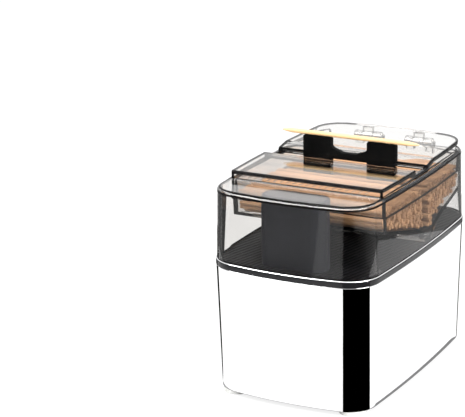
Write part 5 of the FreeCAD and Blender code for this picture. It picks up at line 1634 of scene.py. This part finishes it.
@dataclass
class Hopper(Assembly):
    """The clear hopper and the toothpicks in it."""

    outline: tuple[Point, ...] = (
        (-34.9, HOPPER_TOP), (-33.7, 73.8), (-2.4, 66.0), (1.8, 64.1), (5.0, DECK_TOP),
        (10.4, DECK_TOP), (16.3, 64.8), (24.7, 67.8), (46.0, 72.6), (46.0, HOPPER_TOP),
    )
    wall: float = 1.3
    inner_half: float = 33.2
    case_inset: float = 2.7
    lip_inset: float = 3.8
    step_drop: float = 0.3
    step_back: float = 44.1
    slot: tuple[Triple, Triple] = ((-22.3, 5.7, 50.0), (22.3, 8.7, 63.3))
    edge: float = 0.12
    stock_top: float = 85.0
    pick_length: float = 65.0
    pick_radius: float = 1.0
    pick_gap: float = 0.12
    pick_point: float = 6.0
    pitch: float = 2.2
    rows: int = 14
    columns: int = 38
    lowest: float = 61.8
    lane_half: float = 3.3
    end_play: float = 0.55
    jitter: float = 0.1
    turn: float = 0.011
    seed: int = 11

    def _room(self, wall: float, top: float) -> list[Point]:
        """The hopper's inside as a side outline, a wall in from the outside and up to a height."""
        front, back = self.outline[0][0], self.outline[-1][0]
        return inward([(front, top + wall), *self.outline[1:-1], (back, top + wall)], wall)

    def build(self) -> None:
        """Build the hopper and fill it."""
        shell = side_solid("hopper_fine", self.outline, RAW_HALF)
        combine(shell, Join.KEEP, prism("hopper_plan", CASE, self.case_inset, 50.0, 95.0))
        combine(shell, Join.CUT, side_solid("hopper_room", self._room(self.wall, 96.0), self.inner_half))
        step_z = SKIRT_LOW - self.step_drop
        step = block("hopper_step", (-PAST_X, -PAST_Y, step_z), (PAST_X, self.step_back, 99.0))
        combine(step, Join.CUT, prism("hopper_lip", CASE, self.lip_inset, 70.0, 110.0))
        combine(shell, Join.CUT, step)
        # Painted shade: the rounded edges take the near-black edge finish as dark outlines.
        self.clear_edged(shell, self.edge)
        combine(shell, Join.CUT, block("hopper_slot", *self.slot))
        # Painted shade: the flat tops of the rim and of the step take the near-black edge finish as dark outlines.
        self.lined(
            shell,
            CLEAR_SLOTS,
            lambda face: face.normal.z > 0.9
            and (face.center.z > HOPPER_TOP - 0.05 or abs(face.center.z - step_z) < 0.05),
        )
        self.settle(shell, "base", "smoky_clear", "hopper")
        self._stock()

    def _stock(self) -> None:
        """The toothpicks, in staggered rows clear of the walls and of the fork."""
        inset = self.wall + self.pick_radius + self.pick_gap
        section = side_solid("stock_section", self._room(inset, self.stock_top - self.pick_radius), 4.0)
        stock = pick_rows().grown(
            "toothpick_stock_fine",
            {
                "Section": section,
                "Rows": self.rows,
                "Columns": self.columns,
                "First Y": self.outline[0][0],
                "First Z": self.lowest,
                "Pitch": self.pitch,
                "Free Y": FORK_Y,
                "Free Half": self.lane_half,
                "Length": self.pick_length,
                "Radius": self.pick_radius,
                "Point": self.pick_point,
                "End Play": self.end_play,
                "Jitter": self.jitter,
                "Turn": self.turn,
                "Seed": self.seed,
                "Material": self.wardrobe["toothpick_wood"],
            },
        )
        bpy.data.objects.remove(section)
        self.settle(stock, "base", "toothpick_wood", "toothpick_stock")


@dataclass
class Lid(Assembly):
    """The clear lid: raised window, pick channel with its slot, and hood."""

    outer: tuple[Point, ...] = (
        (-36.1, SKIRT_LOW), (41.0, SKIRT_LOW), (43.5, 92.3), (57.7, 92.3), (57.7, 94.0),
        (16.0, 94.0), (8.9, 92.6), (8.9, 91.5), (-3.6, 91.5), (-4.2, 93.8), (-36.1, 93.8),
    )
    rounds: tuple[float, ...] = (0.0, 0.0, 0.0, 0.0, 0.8, 1.0, 0.0, 0.0, 0.5, 0.6, 0.7)
    inner: tuple[Point, ...] = (
        (-35.3, 76.3), (62.7, 76.3), (62.7, 92.7), (16.0, 92.7), (10.2, 91.3),
        (10.2, 90.2), (-4.65, 90.2), (-5.3, 92.5), (-35.3, 92.5),
    )
    wall: float = 0.8
    slot: tuple[Triple, Triple] = ((-33.8, 3.4, 85.0), (33.8, 8.9, 95.0))
    knuckle_span: Point = (10.0, 15.0)
    web_z: float = 93.35
    pin_hole: float = 1.05
    edge: float = 0.45
    # Slopes, reach and lowest height of the raised window's faces painted with the near-black edge finish as its
    # dark outline: painted shade.
    shade_line_slopes: Point = (0.15, 0.97)
    shade_line_back: float = -34.0
    shade_line_low: float = 93.0
    rib_count: int = 20
    rib_start: Triple = (-28.5, -36.12, 91.9)
    rib_pitch: float = 3.0
    rib_slant: float = math.radians(58.0)
    rib_size: Triple = (0.55, 0.5, 2.8)

    def build(self) -> None:
        """Build the lid."""
        outer = side_solid("lid_fine", filleted(self.outer, self.rounds, 4), RAW_HALF)
        combine(outer, Join.KEEP, prism("lid_plan", LID_PLAN, 0.0, 70.0, 100.0))
        inner = side_solid("lid_room", self.inner, RAW_HALF)
        combine(inner, Join.KEEP, prism("lid_inner_plan", LID_PLAN, self.wall, 70.0, 100.0))
        combine(outer, Join.CUT, inner, block("lid_slot", *self.slot))
        near, far = self.knuckle_span
        web = ((HINGE_Y + 1.0, self.web_z), (HINGE_Y - 1.0, self.web_z))
        for left, right in ((near, far), (-far, -near)):
            combine(outer, Join.ADD, knuckle("lid_knuckle", (117.0, 423.0), web, left, right))
        combine(outer, Join.CUT, pin_hole("lid_pin_hole", self.pin_hole, 19.0))
        low, high = self.shade_line_slopes
        # Painted shade: the rounded edges, and the front faces of the raised window, take the near-black edge
        # finish as a dark outline.
        self.clear_edged(
            outer,
            self.edge,
            lambda face: low < face.normal.z < high
            and face.center.y < self.shade_line_back
            and face.center.z > self.shade_line_low,
        )
        self.settle(outer, "lid_body", "smoky_clear", "lid")
        step, turn = (self.rib_pitch, 0.0, 0.0), (0.0, self.rib_slant, 0.0)
        grip = self.ribs("lid_grip_ribs", "smoky_clear", self.rib_count, self.rib_start, step, turn, self.rib_size)
        self.settle(grip, "lid_body", "smoky_clear")


@dataclass
class Lifter(Assembly):
    """The fork and the toothpick that it presents."""

    fork_round: float = 0.18
    pick_half: float = 32.5
    pick_radius: float = 1.0
    point_length: float = 6.2
    tip: Triple = (0.12, 0.24, 0.3)
    taper_steps: int = 6
    swell: float = 0.9

    def build(self) -> None:
        """Build the fork and its toothpick."""
        fork = softened(copy_of(self.node("lifter_fork"), "lifter_fork_fine"), self.fork_round)
        self.settle(fork, "lifter", "fork_black", "lifter_fork")
        half, (flat, neck, stub) = self.pick_half, self.tip
        profile = [(0.0, -half), (flat, -half), (neck, -half + stub)]
        for step in range(1, self.taper_steps + 1):
            share = step / self.taper_steps
            swell = math.sin(share * math.pi / 2) ** self.swell
            profile.append((neck + (self.pick_radius - neck) * swell, -half + self.point_length * share))
        profile += [(across, -along) for across, along in reversed(profile)]
        pick = turned("presented_toothpick_fine", profile, (0.0, FORK_Y, PICK_REST_Z), "x", 24)
        pick.data.materials.append(self.wardrobe["fresh_pick"])
        self.settle(pick, "lifter", "toothpick_wood", "presented_toothpick")


@dataclass
class Drive(Assembly):
    """Motor, gear train, gearbox plates and guides, as imported."""

    def build(self) -> None:
        """Dress the drive."""
        gears = ("output_gear", "lift_pinion", "second_gear", "first_gear")
        self.dress("gear_nylon", "left_guide", "right_guide", *gears)
        self.dress("steel", "output_shaft", "gear_pins", "gearbox_screws", "motor_shaft", "motor_screws")
        self.dress("plate_steel", "gearbox_front_plate", "gearbox_back_plate")
        self.dress("motor_steel", "motor_can")
        self.dress("motor_white", "motor_end_cap")
        self.dress("contact_metal", "motor_terminals")
        self.dress("pinion_brass", "motor_pinion")
        self.dress("armature_iron", "motor_armature")


@dataclass
class Electrics(Assembly):
    """Batteries, contacts, boards and the power switch, as imported."""

    def build(self) -> None:
        """Dress the electrics."""
        self.dress("case_black", "battery_tray")
        self.dress("cell_wrap", "batteries")
        self.dress("contact_metal", "battery_contacts")
        self.dress("board_green", "main_board")
        self.dress("part_black", "controller_chip", "position_sensor", "power_switch")
        self.dress("capacitor_blue", "capacitors")
        self.dress("steel", "board_screws")
        self.dress("knob_grey", "switch_knob")


# Studio


class Shown(Enum):
    """What shows a card."""

    MIRROR = "mirroring surfaces"
    GLASS = "light that came through glass"


@dataclass(frozen=True)
class Lamp:
    """One soft lamp.

    Args:
        name: Name of the lamp.
        place: Where it stands, in metres.
        size: Length of its side, in metres.
        power: Its power in watts.
    """

    name: str
    place: Triple
    size: float
    power: float


@dataclass(frozen=True)
class Fan:
    """A fan-shaped card on the floor that spreads from a point.

    Args:
        name: Name of the card.
        apex: Where it comes from, in millimetres.
        reach: Distances where it starts and ends.
        span: First and last direction in degrees.
        grey: Its brightness in mirrors.
        inner: Its brightness through glass, or nothing to leave it out there.
    """

    name: str
    apex: Point
    reach: Point
    span: Point
    grey: float
    inner: Optional[float] = None
    arc_steps: int = 16

    def corners(self, level: float) -> list[Triple]:
        """The card's corners.

        Args:
            level: Its height.

        Returns:
            The corners in order.
        """
        (near, far), (low, high) = self.reach, self.span
        steps = self.arc_steps
        angles = [math.radians(low + (high - low) * step / steps) for step in range(steps + 1)]
        arcs = ((far, angles), (near, angles[::-1]))
        x, y = self.apex
        return [(x + r * math.cos(angle), y + r * math.sin(angle), level) for r, arc in arcs for angle in arc]


# Apex and reach of the cards in front of the case, and reach of those for the thin lines at its sides
AHEAD = ((0.0, 0.0), (228.0, 1200.0))
LINES = (1.0, 230.0)


@dataclass
class Studio:
    """Floor, background, lamps, reflector cards and camera; cards are measured in millimetres."""

    lamps: tuple[Lamp, ...] = (
        Lamp("key", (-0.45, -0.55, 0.75), 0.5, 7.0),
        Lamp("fill", (0.65, -0.2, 0.42), 0.5, 7.5),
        Lamp("top", (0.0, 0.15, 0.9), 0.7, 5.0),
    )
    aim: Triple = (0.0, 0.0, 0.05)
    ambient: float = 0.62
    floor_half: float = 3.0
    floor_white: float = 0.9
    floor_glow: float = 1.06
    glow_share: float = 0.8
    camera_at: Triple = (0.335099, -0.703889, 0.311849)
    azimuth: float = 28.965
    elevation: float = 17.11
    roll: float = -1.177
    lens: float = 145.88
    sensor: float = 36.0
    card_level: float = 0.8
    # Grey of the ring card round the case's foot that paints its shadow into mirrors
    mirrored_shadow_grey: float = 0.25
    fans: tuple[Fan, ...] = (
        Fan("right_card", *AHEAD, (5.0, 85.0), 0.4, 0.4),
        Fan("front_card", *AHEAD, (160.0, 260.0), 0.35, 0.3),
        Fan("bright_card", *AHEAD, (260.0, 279.0), 0.8, 0.8),
        Fan("band_card", *AHEAD, (279.0, 330.0), 0.0, 0.0),
        Fan("soft_band_card", *AHEAD, (330.0, 346.0), 0.1, 0.1),
        Fan("softer_band_card", *AHEAD, (346.0, 365.0), 0.35, 0.3),
        Fan("left_line_card", (-36.0, -46.0), LINES, (112.0, 158.0), 0.0),
        Fan("right_line_card", (35.4, 49.5), LINES, (82.0, 125.0), 0.0),
    )
    corner_card: tuple[Point, ...] = (
        (30.0, -50.0), (25.9, -54.6), (25.9, -59.3), (26.6, -78.2), (29.2, -119.0), (32.6, -148.7),
        (36.6, -183.6), (44.0, -240.0), (300.0, -300.0), (240.0, -21.0), (165.4, -24.1), (129.1, -26.3),
        (98.4, -29.7), (74.8, -34.3), (57.2, -39.0), (38.9, -45.5), (34.6, -47.3),
    )
    wings: tuple[tuple[str, float, float], ...] = (("left_wing_card", -1.0, 70.0), ("right_wing_card", 1.0, 105.0))
    wing_back: Point = (40.0, 1500.0)
    wing_level: float = 1.2
    wing_grey: float = 0.03

    def build(self) -> None:
        """Set the studio up."""
        self._world()
        self._floor()
        for lamp in self.lamps:
            self._lamp(lamp)
        self._cards()
        self._camera()
        bpy.context.scene.view_settings.view_transform = "Standard"

    @staticmethod
    def _seen(graph: NodeGraph) -> Signal:
        """One for rays that show a thing directly, mirrored or through glass.

        Args:
            graph: The tree that asks.

        Returns:
            One or zero.
        """
        camera, glossy, through = (
            graph.node("ShaderNodeLightPath", output=name)
            for name in ("Is Camera Ray", "Is Glossy Ray", "Is Transmission Ray")
        )
        return graph.math("MAXIMUM", camera, graph.math("MAXIMUM", glossy, through))

    def _world(self) -> None:
        """White background, with a softer level of light on the object."""
        world = bpy.data.worlds.new("studio")
        bpy.context.scene.world = world
        world.use_nodes = True
        world.node_tree.nodes.clear()
        graph = NodeGraph(world.node_tree)
        soft, bright = (
            graph.node("ShaderNodeBackground", {}, {"Color": (1.0, 1.0, 1.0), "Strength": strength})
            for strength in (self.ambient, 1.0)
        )
        sky = graph.node("ShaderNodeMixShader", {}, {0: self._seen(graph), 1: soft, 2: bright})
        out = world.node_tree.nodes.new("ShaderNodeOutputWorld")
        graph.feed(out.inputs["Surface"], sky)

    def _floor(self) -> None:
        """A white floor that keeps a soft shadow."""
        size = self.floor_half
        corners = [Vector((x, y, 0.0)) for x, y in ((-size, -size), (size, -size), (size, size), (-size, size))]
        floor = new_object("floor", corners, [(0, 1, 2, 3)])
        graph = MaterialGraph("floor_white")
        paint = graph.node("ShaderNodeBsdfDiffuse", {}, {"Color": (self.floor_white,) * 3})
        glow = graph.node("ShaderNodeEmission", {}, {"Color": (1.0, 1.0, 1.0), "Strength": self.floor_glow})
        both = graph.node("ShaderNodeMixShader", {}, {0: self._seen(graph) * self.glow_share, 1: paint, 2: glow})
        floor.data.materials.append(graph.finish(both))

    def _lamp(self, lamp: Lamp) -> None:
        """Place one lamp, turned to the object.

        Args:
            lamp: The lamp.
        """
        data = bpy.data.lights.new(lamp.name, "AREA")
        data.size = lamp.size
        data.energy = lamp.power
        made = bpy.data.objects.new(lamp.name, data)
        bpy.context.scene.collection.objects.link(made)
        made.location = lamp.place
        made.rotation_mode = "QUATERNION"
        made.rotation_quaternion = (Vector(self.aim) - made.location).to_track_quat("-Z", "Y")
        made.visible_camera = False

    def _card(
        self, name: str, corners: Sequence[Sequence[float]], grey: float, shown: Shown = Shown.MIRROR
    ) -> None:
        """A card on the floor that only mirrors show, or only light that came through glass.

        Args:
            name: Name of the card.
            corners: Its corners in millimetres.
            grey: Its brightness.
            shown: What shows it.
        """
        card = new_object(name, [Vector(corner) * MM for corner in corners], [tuple(range(len(corners)))])
        graph = MaterialGraph(f"{name}_paint")
        glow = graph.node("ShaderNodeEmission", {}, {"Color": (grey, grey, grey), "Strength": 1.0})
        card.data.materials.append(graph.finish(glow))
        card.visible_camera = False
        card.visible_diffuse = False
        card.visible_glossy = shown is Shown.MIRROR
        card.visible_transmission = shown is Shown.GLASS
        card.visible_shadow = False

    def _cards(self) -> None:
        """Dark cards that draw the black stripe on the corner and the lines at the sides, and a grey card that
        paints the shadow under the case into mirrors.
        """
        level = self.card_level
        # Painted shadow: a grey ring card round the foot of the case, seen only in mirrors, stands in for the
        # shade under the case.
        shadow = [(point.x, point.y, level - 0.1) for point in CASE.ring(-1.2, level)]
        self._card("ground_card", shadow, self.mirrored_shadow_grey)
        self._card("corner_card", [(x, y, level) for x, y in self.corner_card], 0.0)
        for fan in self.fans:
            self._card(fan.name, fan.corners(level), fan.grey)
            if fan.inner is not None:
                self._card(fan.name.replace("_card", "_inner_card"), fan.corners(level), fan.inner, Shown.GLASS)
        azimuth = math.radians(self.azimuth)
        along = Vector((-math.sin(azimuth), math.cos(azimuth), 0.0))
        across = Vector((along.y, -along.x, 0.0))
        lift = Vector((0.0, 0.0, self.wing_level))
        start, end = (along * back + lift for back in self.wing_back)
        for name, side, gap in self.wings:
            near, far = across * side * gap, across * side * self.wing_back[1]
            self._card(name, [near + start, far + start, far + end, near + end], self.wing_grey, Shown.GLASS)

    def _camera(self) -> None:
        """The camera that took the picture."""
        azimuth, elevation, roll = (math.radians(a) for a in (self.azimuth, self.elevation, self.roll))
        level = math.cos(elevation)
        back = Vector((math.sin(azimuth) * level, -math.cos(azimuth) * level, math.sin(elevation)))
        right = Vector((math.cos(azimuth), math.sin(azimuth), 0.0))
        up = back.cross(right)
        across = right * math.cos(roll) + up * math.sin(roll)
        upright = up * math.cos(roll) - right * math.sin(roll)
        data = bpy.data.cameras.new("camera")
        data.lens = self.lens
        data.sensor_width = self.sensor
        data.sensor_fit = "HORIZONTAL"
        data.clip_start = 0.01
        data.clip_end = 20.0
        made = bpy.data.objects.new("camera", data)
        bpy.context.scene.collection.objects.link(made)
        turn = Matrix((across, upright, back)).transposed().to_4x4()
        made.matrix_world = Matrix.Translation(Vector(self.camera_at)) @ turn
        bpy.context.scene.camera = made


def main() -> None:
    """Build the dispenser and its studio."""
    logging.basicConfig(level=logging.INFO, format="%(name)s: %(message)s")
    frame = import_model()
    wardrobe = Wardrobe()
    for kind in (Case, Deck, Tower, Cover, Hopper, Lid, Lifter, Drive, Electrics):
        assembly = kind(frame, wardrobe)
        assembly.build()
        LOG.info("%s done with %d finer pieces", kind.__name__, len(assembly.pieces))
    Studio().build()


if __name__ == "__main__":
    main()
